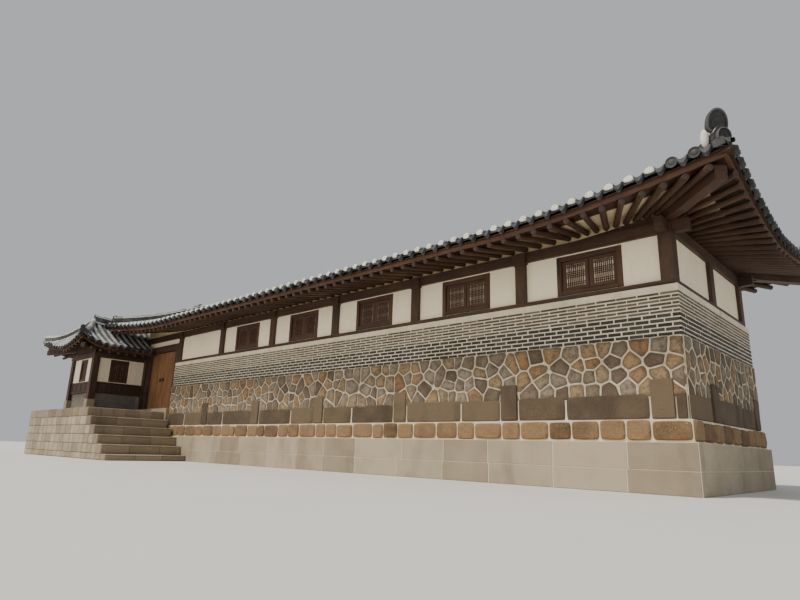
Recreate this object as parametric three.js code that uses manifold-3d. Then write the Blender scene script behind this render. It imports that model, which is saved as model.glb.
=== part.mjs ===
// A long one-room-deep hanok range with a two-leaf gate, a small wing and stone steps at its left end.
// Millimetres, +Z up, the long front faces -Y. Plan sizes are measured from the front right corner post.
import * as THREE from "three";
import { mergeVertices } from "three/addons/utils/BufferGeometryUtils.js";
import Module from "manifold-3d";

const wasm = await Module();
wasm.setup();

// Plan of the long range
const bay = 2420;
const roomBays = 6;
const depth = 3600;
const postSize = 200;
const gateRightX = -bay * roomBays;
const gateLeftX = gateRightX - bay;
const seam = 0.3; // left between faces that touch
const farAbove = 9000; // higher than the whole house, for cutting boxes

// Heights of the courses, from the lowest ground
const plinthTop = 680;
const roughTop = 980;
const stoneTop = 2120;
const brickTop = 2870;
const sillTop = 2950;
const headLow = 3660;
const headTop = 3840;
const floorTop = 1380;
const floorThick = 120;

// Faces of the long walls, measured outwards from the line of post centres
const plinthFace = 240;
const roughFace = 180;
const wallFace = 130;
const wallThick = 360;
const frameFace = 100;
const plasterFace = 40;
const plasterThick = 80;
const plasterTuck = 60; // the long plaster stops this far inside the corner post
const frameTuck = 30;

// Windows
const windowWidth = 1100;
const windowGap = 20;
const windowLow = sillTop + windowGap;
const windowHigh = headLow - windowGap;
const frameBar = 75;
const frameDepth = 90;
const leafThick = 34;
const panelTuck = 20; // the panel runs this far into the frame bars

// Gate
const jambLeftWidth = 250;
const jambRightWidth = 190;
const jambFace = 80;
const lintelFace = 100;
const gatePostFace = 110;
const thresholdTop = 1500;
const lintelLow = 3300;
const lintelHigh = 3500;
const gateLeafThick = 50;
const gateLeafFront = -20;
const gateEdgeGap = 12;
const gateMeetGap = 14;
const gateEndGap = 8;
const pivotInset = 30;
const pivotY = 10;
const pivotRadius = 18;
const pivotDepth = 40;
const pivotPlay = 3;
const pivotRoot = 20;
const socketHeight = 60;
const ledgeShares = [0.14, 0.5, 0.86];
const ledgeThick = 30;
const ledgeHeight = 110;
const ledgeInset = 130;
const pullRise = 930;
const pullOffset = 95;
const plateRadius = 52;
const plateThick = 8;
const bossRadius = 14;
const ringRadius = 42;
const ringWire = 7;

// Roofs: eave lines in plan, run from eave to ridge, and a curved rise
const mainRoof = {
  left: gateLeftX - 450, right: 1150, front: -1220, back: depth + 1220,
  run: 3020, endInset: 3020, along: "x", eaveZ: 3850, slope: 0.26, curve: 0.0000454,
  lift: 330, liftPower: 1.7, flare: 90, liftReach: 3600, edge: 60, thick: 98, fasciaInset: 70,
  thicken: 0.125, thickenTo: 1570, fasciaDrop: 48, fasciaHigh: 94,
  gable: 200, // the left end is a gable, its verge ridge set in this far
};
const wingRight = gateLeftX;
const wingLeft = wingRight - 1760;
const wingFront = -1630;
const wingEave = 750;
const wingRoof = {
  left: wingLeft - wingEave, right: wingRight + wingEave,
  front: wingFront - wingEave, back: depth + wingEave,
  run: 1630, endInset: 800, along: "y", eaveZ: 3320, slope: 0.42, curve: 0.000085,
  lift: 340, liftPower: 2.2, flare: 70, liftReach: 1900, edge: 50, thick: 120, fasciaInset: 60,
  thicken: 0, thickenTo: 0, fasciaDrop: 38, fasciaHigh: 90,
};
const rafterPitch = bay / 9;
const rafterRadius = 46;
const rafterClear = 12;
const wingRafterRadius = 40;
const tipPastFascia = 60; // the tips reach under the eave board and a little past it
const fanZone = 1500; // rafters nearer a fanned corner than this turn towards it
const fanFirst = 330; // from the eave corner to the first fanned rafter
const fanFoot = 120; // from the corner post to the root of the first fanned rafter
const plainFirst = 110;
const seatEvery = 6;
const seatClear = 800;
const seatHalf = 40;
const seatLow = 130;
const seatHigh = 30;
const fasciaThick = 40;
const purlinHalf = 90;

// Wing walls
const wingPost = 190;
const blockTop = 1730;
const wingBrickTop = 1940;
const wingBoardTop = 2290;
const wingHeadLow = 3050;
const wingHeadTop = 3200;
const wingCourseTop = 1470;
const wingSkin = 20;
const brickRecess = 45;
const blockPast = 25; // corner blocks stand this far proud of the posts
const wingBasePast = 130;
const wingWall = 110;

// Steps and the stone terrace they climb to
const terraceFront = -2410;
const terraceLeft = gateLeftX - 2780;
const topNosing = -14730;
const tread = 330;
const stepCount = 5;
const terraceTop = floorTop;
const riser = 245;

const stone = (color) => new THREE.MeshStandardMaterial({ color, roughness: 0.9, metalness: 0 });
const granite = stone(0xb9b4a8);
const fieldstone = stone(0xa58e72);
const brick = stone(0x6f7478);
const plaster = stone(0xe6dcc6);
const tile = stone(0x54585c);
const timber = new THREE.MeshStandardMaterial({ color: 0x4b2c20, roughness: 0.7, metalness: 0 });
const plank = new THREE.MeshStandardMaterial({ color: 0x8a5530, roughness: 0.65, metalness: 0 });
const iron = new THREE.MeshStandardMaterial({ color: 0x1c1b1b, roughness: 0.5, metalness: 0.8 });

const house = new THREE.Group();

// A closed three.js geometry as a solid that can be joined and cut
function solid(geometry) {
  const bare = geometry.index ? geometry.toNonIndexed() : geometry.clone();
  bare.deleteAttribute("normal");
  bare.deleteAttribute("uv");
  const merged = mergeVertices(bare, 1e-3);
  return new wasm.Manifold(new wasm.Mesh({
    numProp: 3,
    vertProperties: merged.attributes.position.array,
    triVerts: new Uint32Array(merged.index.array),
  }));
}

function box(x0, x1, y0, y1, z0, z1) {
  const made = new THREE.BoxGeometry(x1 - x0, y1 - y0, z1 - z0);
  made.translate((x0 + x1) / 2, (y0 + y1) / 2, (z0 + z1) / 2);
  return solid(made);
}

function join(solids) {
  return solids.reduce((sum, next) => sum.add(next));
}

// The largest body of a solid, without the crumbs that a cut leaves
function largest(made) {
  return made.decompose().reduce((best, next) => (next.volume() > best.volume() ? next : best));
}

function add(name, made, material) {
  const mesh = made.getMesh();
  const geometry = new THREE.BufferGeometry();
  geometry.setAttribute("position", new THREE.BufferAttribute(new Float32Array(mesh.vertProperties), 3));
  geometry.setIndex(new THREE.BufferAttribute(new Uint32Array(mesh.triVerts), 1));
  geometry.computeVertexNormals();
  const piece = new THREE.Mesh(geometry, material);
  piece.name = name;
  house.add(piece);
}

// A closed solid from quads over rings of points: ring i joins ring i + 1, and the ends are capped
function loft(rings, closed = false) {
  const sides = rings[0].length;
  const positions = rings.flat(2);
  const index = [];
  const last = closed ? rings.length : rings.length - 1;
  for (let i = 0; i < last; i += 1) {
    const a = i * sides;
    const b = ((i + 1) % rings.length) * sides;
    for (let k = 0; k < sides; k += 1) {
      const n = (k + 1) % sides;
      index.push(a + k, a + n, b + n, a + k, b + n, b + k);
    }
  }
  if (!closed) {
    const end = (rings.length - 1) * sides;
    for (let k = 1; k < sides - 1; k += 1) {
      index.push(0, k + 1, k, end, end + k, end + k + 1);
    }
  }
  const geometry = new THREE.BufferGeometry();
  geometry.setAttribute("position", new THREE.BufferAttribute(new Float32Array(positions), 3));
  geometry.setIndex(index);
  const made = solid(geometry);
  if (made.volume() > 0) return made;
  return solid(loftReversed(geometry));
}

function loftReversed(geometry) {
  const turned = geometry.clone();
  const order = Array.from(geometry.index.array);
  for (let i = 0; i < order.length; i += 3) {
    [order[i + 1], order[i + 2]] = [order[i + 2], order[i + 1]];
  }
  turned.setIndex(order);
  return turned;
}

// An upright rectangular section carried along a path in space, low and high measured from the path
function beamAlong(path, halfWidth, low, high, closed = false) {
  const rings = path.map((p, i) => {
    const before = path[closed ? (i + path.length - 1) % path.length : Math.max(i - 1, 0)];
    const after = path[closed ? (i + 1) % path.length : Math.min(i + 1, path.length - 1)];
    const side = new THREE.Vector2(after[1] - before[1], before[0] - after[0]).normalize();
    const sx = side.x * halfWidth;
    const sy = side.y * halfWidth;
    return [
      [p[0] - sx, p[1] - sy, p[2] + low], [p[0] + sx, p[1] + sy, p[2] + low],
      [p[0] + sx, p[1] + sy, p[2] + high], [p[0] - sx, p[1] - sy, p[2] + high],
    ];
  });
  return loft(rings, closed);
}

function rod(from, to, radius, sides) {
  const a = new THREE.Vector3(...from);
  const b = new THREE.Vector3(...to);
  const made = new THREE.CylinderGeometry(radius, radius, a.distanceTo(b), sides);
  const turn = new THREE.Quaternion().setFromUnitVectors(
    new THREE.Vector3(0, 1, 0), b.clone().sub(a).normalize(),
  );
  made.applyQuaternion(turn);
  made.translate((a.x + b.x) / 2, (a.y + b.y) / 2, (a.z + b.z) / 2);
  return solid(made);
}

const gableFade = 0.4;

// Roof surfaces. Distances to the four eaves give the rise, the corner lift and the flare in plan.
function eaveDistances(roof, x, y) {
  const sideways = Math.min(x - roof.left, roof.right - x);
  const forward = Math.min(y - roof.front, roof.back - y);
  const end = roof.along === "x" ? sideways : forward;
  const long = roof.along === "x" ? forward : sideways;
  return [long, end * roof.run / roof.endInset];
}

// A gabled end slopes only to the long eaves, and its verge stays lifted up to the ridge
function roofTop(roof, x, y) {
  const [long, end] = eaveDistances(roof, x, y);
  const gabled = roof.gable > 0 && x < (roof.left + roof.right) / 2;
  const d = Math.max(Math.min(long, gabled ? roof.run : end, roof.run), 0);
  const far = gabled ? Math.max(end, 0) : Math.max(long, end);
  const fade = 1 - (gabled ? gableFade : 1) * d / roof.run;
  const reach = Math.max(1 - far / roof.liftReach, 0) ** roof.liftPower;
  return roof.eaveZ + roof.slope * d + roof.curve * d * d + roof.lift * reach * fade;
}

function flared(roof, x, y) {
  const bulge = (near, off) => roof.flare * Math.max(1 - near / roof.liftReach, 0) ** 2.2
    * Math.max(1 - off / (roof.run * 0.6), 0);
  const fromLeft = x - roof.left;
  const fromRight = roof.right - x;
  const fromFront = y - roof.front;
  const fromBack = roof.back - y;
  const nearEnd = Math.min(fromLeft, fromRight);
  const nearLong = Math.min(fromFront, fromBack);
  const dx = bulge(nearLong, fromRight) - bulge(nearLong, fromLeft);
  const dy = bulge(nearEnd, fromBack) - bulge(nearEnd, fromFront);
  return [x + dx, y + dy];
}

// The point that the flare moves to a real plan point
function unflared(roof, x, y) {
  let [u, v] = [x, y];
  for (let k = 0; k < 6; k += 1) {
    const [fx, fy] = flared(roof, u, v);
    [u, v] = [u + x - fx, v + y - fy];
  }
  return [u, v];
}

// The bedding clay under the tiles grows thicker up the slope, so the rafters lie flatter than the roof
function roofThick(roof, x, y) {
  const fromEdge = Math.min(x - roof.left, roof.right - x, y - roof.front, roof.back - y);
  return roof.thick + roof.thicken * Math.max(Math.min(fromEdge, roof.thickenTo), 0);
}

// Height of the flared roof's underside over a real plan point
function roofUnder(roof, x, y) {
  const at = unflared(roof, x, y);
  return roofTop(roof, ...at) - roofThick(roof, ...at);
}

function gridStops(roof, across) {
  const low = across === "x" ? roof.left : roof.front;
  const high = across === "x" ? roof.right : roof.back;
  const run = across === roof.along ? roof.endInset : roof.run;
  const step = roof.fasciaInset + fasciaThick;
  const shares = [0.1, 0.22, 0.36, 0.52, 0.74, 1];
  const half = (high - low) / 2;
  const near = [0, step, step + 5, ...shares.map((s) => s * run).filter((d) => d > step + 40)];
  const list = near.filter((d) => d < half - 1);
  if (roof.liftReach < half - 200 && roof.liftReach > near[near.length - 1] + 100) list.push(roof.liftReach);
  const middle = across === roof.along ? [] : [low + half];
  return [...list.map((d) => low + d), ...middle, ...list.map((d) => high - d).reverse()];
}

function roofSlab(roof) {
  const step = roof.fasciaInset + fasciaThick;
  const xs = gridStops(roof, "x");
  const ys = gridStops(roof, "y");
  const rows = ys.length;
  const positions = [];
  for (const high of [true, false]) {
    for (const x of xs) {
      for (const y of ys) {
        const fromEdge = Math.min(x - roof.left, roof.right - x, y - roof.front, roof.back - y);
        const off = fromEdge > step + 1 ? roofThick(roof, x, y) : roof.edge;
        positions.push(...flared(roof, x, y), roofTop(roof, x, y) - (high ? 0 : off));
      }
    }
  }
  const under = xs.length * rows;
  const index = [];
  for (let i = 0; i < xs.length - 1; i += 1) {
    for (let j = 0; j < rows - 1; j += 1) {
      const a = i * rows + j;
      const b = a + rows;
      const leftHalf = xs[i] + xs[i + 1] < roof.left + roof.right;
      const frontHalf = ys[j] + ys[j + 1] < roof.front + roof.back;
      const quad = leftHalf === frontHalf
        ? [a, b, b + 1, a, b + 1, a + 1]
        : [a, b, a + 1, b, b + 1, a + 1];
      index.push(...quad);
      for (let k = 0; k < 6; k += 3) index.push(under + quad[k], under + quad[k + 2], under + quad[k + 1]);
    }
  }
  const rim = [];
  for (let i = 0; i < xs.length; i += 1) rim.push(i * rows);
  for (let j = 1; j < rows; j += 1) rim.push((xs.length - 1) * rows + j);
  for (let i = xs.length - 2; i >= 0; i -= 1) rim.push(i * rows + rows - 1);
  for (let j = rows - 2; j > 0; j -= 1) rim.push(j);
  rim.forEach((p, k) => {
    const q = rim[(k + 1) % rim.length];
    index.push(p, under + p, under + q, p, under + q, q);
  });
  const geometry = new THREE.BufferGeometry();
  geometry.setAttribute("position", new THREE.BufferAttribute(new Float32Array(positions), 3));
  geometry.setIndex(index);
  return solid(geometry);
}

// Points along the eaves all round, set in from the edge, at the stops of the roof surface
function eaveRing(roof, inset, drop) {
  const low = [roof.left + inset, roof.front + inset];
  const high = [roof.right - inset, roof.back - inset];
  const xs = gridStops(roof, "x").filter((x) => x > low[0] + 30 && x < high[0] - 30);
  const ys = gridStops(roof, "y").filter((y) => y > low[1] + 30 && y < high[1] - 30);
  const plan = [
    [low[0], low[1]], ...xs.map((x) => [x, low[1]]), [high[0], low[1]], ...ys.map((y) => [high[0], y]),
    [high[0], high[1]], ...[...xs].reverse().map((x) => [x, high[1]]), [low[0], high[1]],
    ...[...ys].reverse().map((y) => [low[0], y]),
  ];
  return plan.map(([x, y]) => [...flared(roof, x, y), roofTop(roof, x, y) - drop]);
}

// A straight rafter under the slab, lowered until it clears the slab's underside all along
function rafterUnder(roof, from, to, radius) {
  const steps = 12;
  const underside = (t) => {
    const x = from[0] + (to[0] - from[0]) * t;
    const y = from[1] + (to[1] - from[1]) * t;
    return roofUnder(roof, x, y);
  };
  const z0 = underside(0);
  const z1 = underside(1);
  let drop = 0;
  for (let k = 0; k <= steps; k += 1) {
    const t = k / steps;
    drop = Math.max(drop, z0 + (z1 - z0) * t - underside(t));
  }
  const sink = drop + radius + rafterClear;
  return rod([...from, z0 - sink], [...to, z1 - sink], radius, 6);
}

// A packing block between two rafters, from the purlin up to the roof's underside
function seatBlock(roof, [x, y]) {
  const under = roofUnder(roof, x, y);
  return box(x - seatHalf, x + seatHalf, y - seatHalf, y + seatHalf, under - seatLow, under + seatHigh);
}

// Cut just clear of a roof's underside
function seated(made, slab) {
  return largest(made.subtract(slab.translate(0, 0, -seam)));
}

// Rafters along one side: square to the wall in the middle, fanned towards a hip corner.
// place(t, out) gives the plan point at t along the wall and out from the post line.
function rafterRow(roof, place, length, overhang, corners, radius, inward) {
  const made = [];
  const reach = overhang - roof.fasciaInset - fasciaThick + tipPastFascia;
  const fan = (distance) => {
    const share = (distance + overhang - fanFirst) / (fanZone + overhang - fanFirst);
    return distance > fanZone ? distance : fanFoot + share * (fanZone - fanFoot);
  };
  const first = corners[0] ? -overhang + fanFirst : plainFirst;
  const last = corners[1] ? length + overhang - fanFirst : length;
  const count = Math.round((last - first) / rafterPitch);
  for (let i = 0; i <= count; i += 1) {
    const t = first + (last - first) * i / count;
    let foot = t;
    if (corners[0] && t < fanZone) foot = fan(t);
    if (corners[1] && length - t < fanZone) foot = length - fan(length - t);
    const tip = flared(roof, ...place(t, reach));
    const root = place(foot, 0);
    const back = [root[0] + (root[0] - tip[0]) * inward, root[1] + (root[1] - tip[1]) * inward];
    made.push(rafterUnder(roof, tip, back, radius));
    const between = t + (last - first) / count / 2;
    const seats = i % seatEvery === 3 && between > seatClear && length - between > seatClear;
    if (seats) made.push(seatBlock(roof, place(between, 0)));
  }
  return made;
}

// Masonry of the long range: granite plinth, rough course and fieldstone in one mass a side, then brick
const innerFace = -wallFace + wallThick;
const ledgeFace = innerFace + 100;
const floorLow = floorTop - floorThick;
const wallEndX = gateRightX - postSize / 2;
const masonrySteps = [
  [0, plinthTop, plinthFace, ledgeFace], [plinthTop - 1, roughTop, roughFace, ledgeFace],
  [roughTop - 1, floorLow - seam, wallFace, ledgeFace], [floorLow - 1, stoneTop, wallFace, innerFace],
];

function longMasonry(side, low, high, face, inner) {
  return side === "front"
    ? box(wallEndX, face, -face, inner, low, high)
    : box(wallEndX, face, depth - inner, depth + face, low, high);
}

function endMasonry(low, high, face, inner) {
  return box(-inner, face, ledgeFace + seam, depth - ledgeFace - seam, low, high);
}

for (const side of ["front", "back"]) {
  add(`${side}_stone_wall`, join(masonrySteps.map((s) => longMasonry(side, ...s))), fieldstone);
  add(`${side}_brick_wall`, longMasonry(side, stoneTop + seam, brickTop - seam, wallFace, innerFace), brick);
}
const endStone = masonrySteps.map((s) => endMasonry(...s));
// above the floor's ledge the end wall runs on to the inner faces of the long walls
endStone.push(box(-innerFace, wallFace, innerFace + seam, depth - innerFace - seam, floorLow, stoneTop));
add("right_stone_wall", join(endStone), fieldstone);
add("right_brick_wall", box(
  -innerFace, wallFace, innerFace + seam, depth - innerFace - seam, stoneTop + seam, brickTop - seam,
), brick);

// Timber frame: sill, posts and head beam of each side, with the plaster running behind the posts
const plasterBack = -plasterFace + plasterThick;
const frameBack = -plasterFace - seam;
const crossOut = 330;
const crossHalf = 60;
const headBlockHalf = 125; // blocks on the post heads, wider and prouder than the posts
const headBlockFace = 150;
const headBlockLow = headLow - 30;
const headBlockHigh = headTop - 12;

function longFrame(side) {
  const y0 = side === "front" ? -frameFace : depth - frameBack;
  const y1 = side === "front" ? frameBack : depth + frameFace;
  const pieces = [
    box(gateRightX + postSize / 2 - 1, postSize / 2 - frameTuck, y0, y1, brickTop, sillTop),
    box(gateLeftX - frameFace, postSize / 2, y0, y1, headLow, headTop),
  ];
  for (let i = 0; i < roomBays; i += 1) {
    const x = gateRightX + bay * i;
    pieces.push(box(x - postSize / 2, x + postSize / 2, y0, y1, brickTop, headLow + 1));
  }
  pieces.push(box(-postSize / 2, postSize / 2, y0, y1, brickTop, headLow + 1));
  const blockY = side === "front" ? [-headBlockFace, frameBack] : [depth - frameBack, depth + headBlockFace];
  for (let i = 0; i < roomBays; i += 1) {
    const x = gateRightX + bay * i;
    pieces.push(box(x - headBlockHalf, x + headBlockHalf, ...blockY, headBlockLow, headBlockHigh));
  }
  const corner = side === "front" ? 0 : depth;
  const outward = side === "front" ? -1 : 1;
  pieces.push(box(-frameBack, frameFace, corner - frameFace, corner + frameFace, brickTop, headTop));
  pieces.push(box(-frameBack, crossOut, corner - crossHalf, corner + crossHalf, headLow, headTop));
  const headEnds = [corner - outward * frameBack, corner + outward * crossOut];
  pieces.push(box(-crossHalf, crossHalf, Math.min(...headEnds), Math.max(...headEnds), headLow, headTop));
  return join(pieces);
}
add("front_timber_frame", longFrame("front"), timber);
add("back_timber_frame", longFrame("back"), timber);

function windowHole(x, y0, y1, low, high, width) {
  return box(x - width / 2, x + width / 2, y0, y1, low, high);
}

const bayCentre = (i) => gateRightX + bay * (i + 0.5);
const frontWindows = [1, 2, 3, 4, 5];
const backWindows = [1, 3, 5];
function longPlaster(side, windows) {
  const y0 = side === "front" ? -plasterFace : depth - plasterBack;
  const y1 = y0 + plasterThick;
  let wall = box(wallEndX, postSize / 2 - plasterTuck, y0, y1, brickTop, headTop);
  for (const i of windows) {
    const hole = windowHole(bayCentre(i), y0 - 10, y1 + 10, windowLow, windowHigh, windowWidth);
    wall = wall.subtract(hole);
  }
  return wall;
}
add("front_plaster_wall", longPlaster("front", frontWindows), plaster);
add("back_plaster_wall", longPlaster("back", backWindows), plaster);

const rightFrame = join([
  box(-frameBack, frameFace, postSize / 2 + seam, depth - postSize / 2 - seam, brickTop, sillTop),
  box(-frameBack, frameFace, postSize / 2 + seam, depth - postSize / 2 - seam, headLow, headTop),
  box(-frameBack, frameFace, depth / 2 - postSize / 2, depth / 2 + postSize / 2, brickTop, headTop),
]);
add("right_timber_frame", rightFrame, timber);
add("right_plaster_wall", box(
  -plasterBack, plasterFace, plasterBack + seam, depth - plasterBack - seam, brickTop, headTop,
), plaster);

// A window: outer frame, middle stile, and two leaves closed by one paper-backed panel
function windowUnit(width, low, high) {
  const half = width / 2 - seam;
  const z0 = low + seam;
  const z1 = high - seam;
  const ring = box(-half, half, -frameDepth / 2, frameDepth / 2, z0, z1).subtract(
    box(-half + frameBar, half - frameBar, -frameDepth, frameDepth, z0 + frameBar, z1 - frameBar),
  );
  const [low1, high1] = [z0 + panelTuck, z1 - panelTuck];
  const panel = box(-half + panelTuck, half - panelTuck, -leafThick / 2, leafThick / 2, low1, high1);
  const stile = box(-frameBar / 2, frameBar / 2, -leafThick, leafThick, low1, high1);
  return join([ring, panel, stile]);
}
const middleOfPlaster = -plasterFace + plasterThick / 2;
frontWindows.forEach((i, k) => {
  const unit = windowUnit(windowWidth, windowLow, windowHigh).translate(bayCentre(i), middleOfPlaster, 0);
  add(`front_window_${k + 1}`, unit, timber);
});
backWindows.forEach((i, k) => {
  const unit = windowUnit(windowWidth, windowLow, windowHigh);
  add(`back_window_${k + 1}`, unit.translate(bayCentre(i), depth - middleOfPlaster, 0), timber);
});

// Floor of the range and of the gate bay, resting on ledges of the masonry
add("floor", box(
  wingRight + wingSkin + wingPost, -innerFace - seam, innerFace + seam, depth - innerFace - seam,
  floorLow, floorTop,
), granite);

// Gate bay: posts, jambs, threshold, lintel and the plaster strip over it
const gatePostLeft = wingRight + wingSkin + seam;
const gatePostRight = gatePostLeft + postSize;
const gatePost = (y) => box(
  gatePostLeft, gatePostRight, y - gatePostFace, y + gatePostFace, floorTop + seam, headLow - seam,
);
add("gate_left_post", gatePost(0), timber);
add("gate_back_post", gatePost(depth), timber);
const jambLeft = gatePostRight + seam;
const jambRight = wallEndX - seam;
const openLeft = jambLeft + jambLeftWidth;
const openRight = jambRight - jambRightWidth;
const pivotLeft = openLeft + gateEdgeGap + pivotInset;
const pivotRight = openRight - gateEdgeGap - pivotInset;
const socket = (x, z0, z1) => rod([x, pivotY, z0], [x, pivotY, z1], pivotRadius + pivotPlay, 16);
const jamb = (x0, x1) => box(x0, x1, -jambFace, jambFace, thresholdTop - 1, lintelLow + 1);
const lintelSockets = [pivotLeft, pivotRight].map((x) => socket(x, lintelLow - 1, lintelLow + socketHeight));
add("gate_frame", join([
  jamb(jambLeft, openLeft),
  jamb(openRight, jambRight),
  box(jambLeft, jambRight, -lintelFace, lintelFace, lintelLow, lintelHigh),
]).subtract(join(lintelSockets)), timber);
const gateBaseLeft = wingRight + wingPost / 2;
add("gate_threshold", join([
  box(gateBaseLeft, wallEndX - seam, -plinthFace, ledgeFace, 0, floorLow - seam),
  box(gateBaseLeft, wallEndX - seam, -plinthFace, innerFace, floorLow - 1, floorTop),
  box(jambLeft, wallEndX - seam, -plinthFace, innerFace, floorTop - 1, thresholdTop - 1 - seam),
]).subtract(
  join([pivotLeft, pivotRight].map((x) => socket(x, thresholdTop - 1 - seam - pivotDepth, thresholdTop))),
), granite);
add("gate_back_threshold", join([
  box(gateBaseLeft, wallEndX - seam, depth - ledgeFace, depth + plinthFace, 0, floorLow - seam),
  box(gateBaseLeft, wallEndX - seam, depth - innerFace, depth + plinthFace, floorLow - 1, floorTop),
]), granite);
add("gate_plaster_strip", box(
  jambLeft, jambRight, -plasterFace, plasterBack, lintelHigh + seam, headTop,
), plaster);

// Gate leaves, hinged on wooden pivots, with ledges behind the planks and a ring pull each
const leafLow = thresholdTop - 1 - seam + gateEndGap;
const leafHigh = lintelLow - gateEndGap;
const leafMiddle = (openLeft + openRight) / 2;
const leafBack = gateLeafFront + gateLeafThick;
function gateLeaf(side) {
  const hinge = side === "left" ? openLeft + gateEdgeGap : openRight - gateEdgeGap;
  const free = side === "left" ? leafMiddle - gateMeetGap / 2 : leafMiddle + gateMeetGap / 2;
  const x0 = Math.min(hinge, free);
  const x1 = Math.max(hinge, free);
  const pivot = side === "left" ? pivotLeft : pivotRight;
  const pin = (z0, z1) => rod([pivot, pivotY, z0], [pivot, pivotY, z1], pivotRadius, 12);
  const ledges = ledgeShares.map((s) => {
    const z = leafLow + s * (leafHigh - leafLow);
    const [low, high] = [z - ledgeHeight / 2, z + ledgeHeight / 2];
    return box(x0 + ledgeInset, x1 - ledgeInset, leafBack - 1, leafBack + ledgeThick, low, high);
  });
  return join([
    box(x0, x1, gateLeafFront, leafBack, leafLow, leafHigh),
    pin(leafLow + pivotRoot, thresholdTop - 1 - pivotDepth),
    pin(leafHigh - pivotRoot, lintelLow + pivotDepth),
    ...ledges,
  ]);
}
add("gate_leaf_left", gateLeaf("left"), plank);
add("gate_leaf_right", gateLeaf("right"), plank);

const pullHeight = thresholdTop + pullRise;
function ringPull(side) {
  const x = side === "left" ? leafMiddle - pullOffset : leafMiddle + pullOffset;
  const face = gateLeafFront - seam;
  const bossHeight = pullHeight + bossRadius;
  const bossEnd = face - plateThick - 3 * ringWire;
  const plate = rod([x, face, pullHeight], [x, face - plateThick, pullHeight], plateRadius, 14);
  const boss = rod([x, face - 1, bossHeight], [x, bossEnd, bossHeight], bossRadius, 8);
  const ring = new THREE.TorusGeometry(ringRadius, ringWire, 5, 14);
  ring.rotateX(Math.PI / 2);
  ring.translate(x, face - plateThick - 2 * ringWire, bossHeight - ringRadius);
  return join([plate, boss, solid(ring)]);
}
add("gate_pull_left", ringPull("left"), iron);
add("gate_pull_right", ringPull("right"), iron);

// Roof of the long range
const mainHeadClear = headTop + seam;
add("main_roof", roofSlab(mainRoof), tile);
function eaveBoard(roof, grow = 0) {
  const ring = eaveRing(roof, roof.fasciaInset + fasciaThick / 2, roof.fasciaDrop);
  return seated(beamAlong(ring, fasciaThick / 2 - 3 + grow, -roof.fasciaHigh - grow, 0, true), roofSlab(roof));
}
add("main_eave_board", eaveBoard(mainRoof), timber);

// A purlin over a wall, its top cut to rise with the roof so that it carries the fanned rafters too
function purlin(roof, along, low, high, at, bottom, under) {
  const steps = 6;
  const reach = Math.min(roof.liftReach, (high - low) / 2 - 1);
  const near = Array.from({ length: steps + 1 }, (_, k) => reach * k / steps);
  const ts = [...near.map((d) => low + d), ...near.map((d) => high - d).reverse()];
  const rings = ts.map((t) => {
    const at3 = (s) => (along === "x" ? [t, at + s] : [at + s, t]);
    const sides = [-purlinHalf, purlinHalf].map((s) => roofUnder(roof, ...at3(s)));
    const top = Math.min(...sides) - under;
    const section = [[-purlinHalf, bottom], [purlinHalf, bottom], [purlinHalf, top], [-purlinHalf, top]];
    return section.map(([s, h]) => [...at3(s), h]);
  });
  return loft(rings);
}
const mainOut = -mainRoof.front;
const rightOut = mainRoof.right;
const hipTipShare = 0.15;

function hipRafter(roof, cornerX, cornerY, postX, postY, half, height, back, grow = 0) {
  const between = (share) => [cornerX + (postX - cornerX) * share, cornerY + (postY - cornerY) * share];
  const tip = flared(roof, ...between(hipTipShare));
  const root = between(1 + back);
  const steps = 10;
  const under = (s) => {
    const [x, y] = [0, 1].map((k) => tip[k] + (root[k] - tip[k]) * s);
    return roofUnder(roof, x, y);
  };
  let sag = 0;
  for (let k = 0; k <= steps; k += 1) {
    const s = k / steps;
    sag = Math.max(sag, under(0) + (under(1) - under(0)) * s - under(s));
  }
  const path = [[...tip, under(0) - sag - hipSink], [...root, under(1) - sag - hipSink]];
  return beamAlong(path, half + grow, -height - grow, grow);
}
const purlinUnder = 45;
const purlinPast = 60;
const purlinShort = 30;
const hipGap = 5;
const hipSink = 32;
const hipHalf = 80;
const hipHeight = 190;
const hipSeatBack = 400; // the hip rafters are notched to sit flat on the crossed head beams
const mainHip = (y, postY, grow) => hipRafter(
  mainRoof, mainRoof.right, y, 0, postY, hipHalf, hipHeight, 0.25 + grow / 100, grow,
);
const hipSeat = (y) => box(
  -hipSeatBack, crossOut + 1, y - crossOut - 1, y + crossOut + 1, headLow, mainHeadClear,
);
const hips = {
  hip_rafter_front_right: mainHip(mainRoof.front, 0, 0).subtract(hipSeat(0)),
  hip_rafter_back_right: mainHip(mainRoof.back, depth, 0).subtract(hipSeat(depth)),
};
const hipSpace = mainHip(mainRoof.front, 0, 1).add(mainHip(mainRoof.back, depth, 1));
for (const [name, made] of Object.entries(hips)) add(name, made, timber);

const frontPlace = (t, out) => [gateLeftX + t, -out];
const backPlace = (t, out) => [gateLeftX + t, depth + out];
const rightPlace = (t, out) => [out, t];
const longLength = -gateLeftX;
const mainOver = roofSlab(mainRoof).translate(0, 0, -seam).add(eaveBoard(mainRoof, seam));
const longRafters = (place, at) => largest(join([
  purlin(mainRoof, "x", gateLeftX - purlinPast, -purlinHalf - purlinShort, at, mainHeadClear, purlinUnder),
  ...rafterRow(mainRoof, place, longLength, mainOut, [false, true], rafterRadius, 0.3),
]).subtract(hipSpace).subtract(mainOver));
add("front_rafters", longRafters(frontPlace, 0), timber);
add("back_rafters", longRafters(backPlace, depth), timber);
add("right_rafters", largest(join([
  purlin(mainRoof, "y", purlinHalf + hipGap, depth - purlinHalf - hipGap, 0, mainHeadClear, purlinUnder),
  ...rafterRow(mainRoof, rightPlace, depth, rightOut, [true, true], rafterRadius, 0.25),
]).subtract(hipSpace).subtract(mainOver)), timber);

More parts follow.
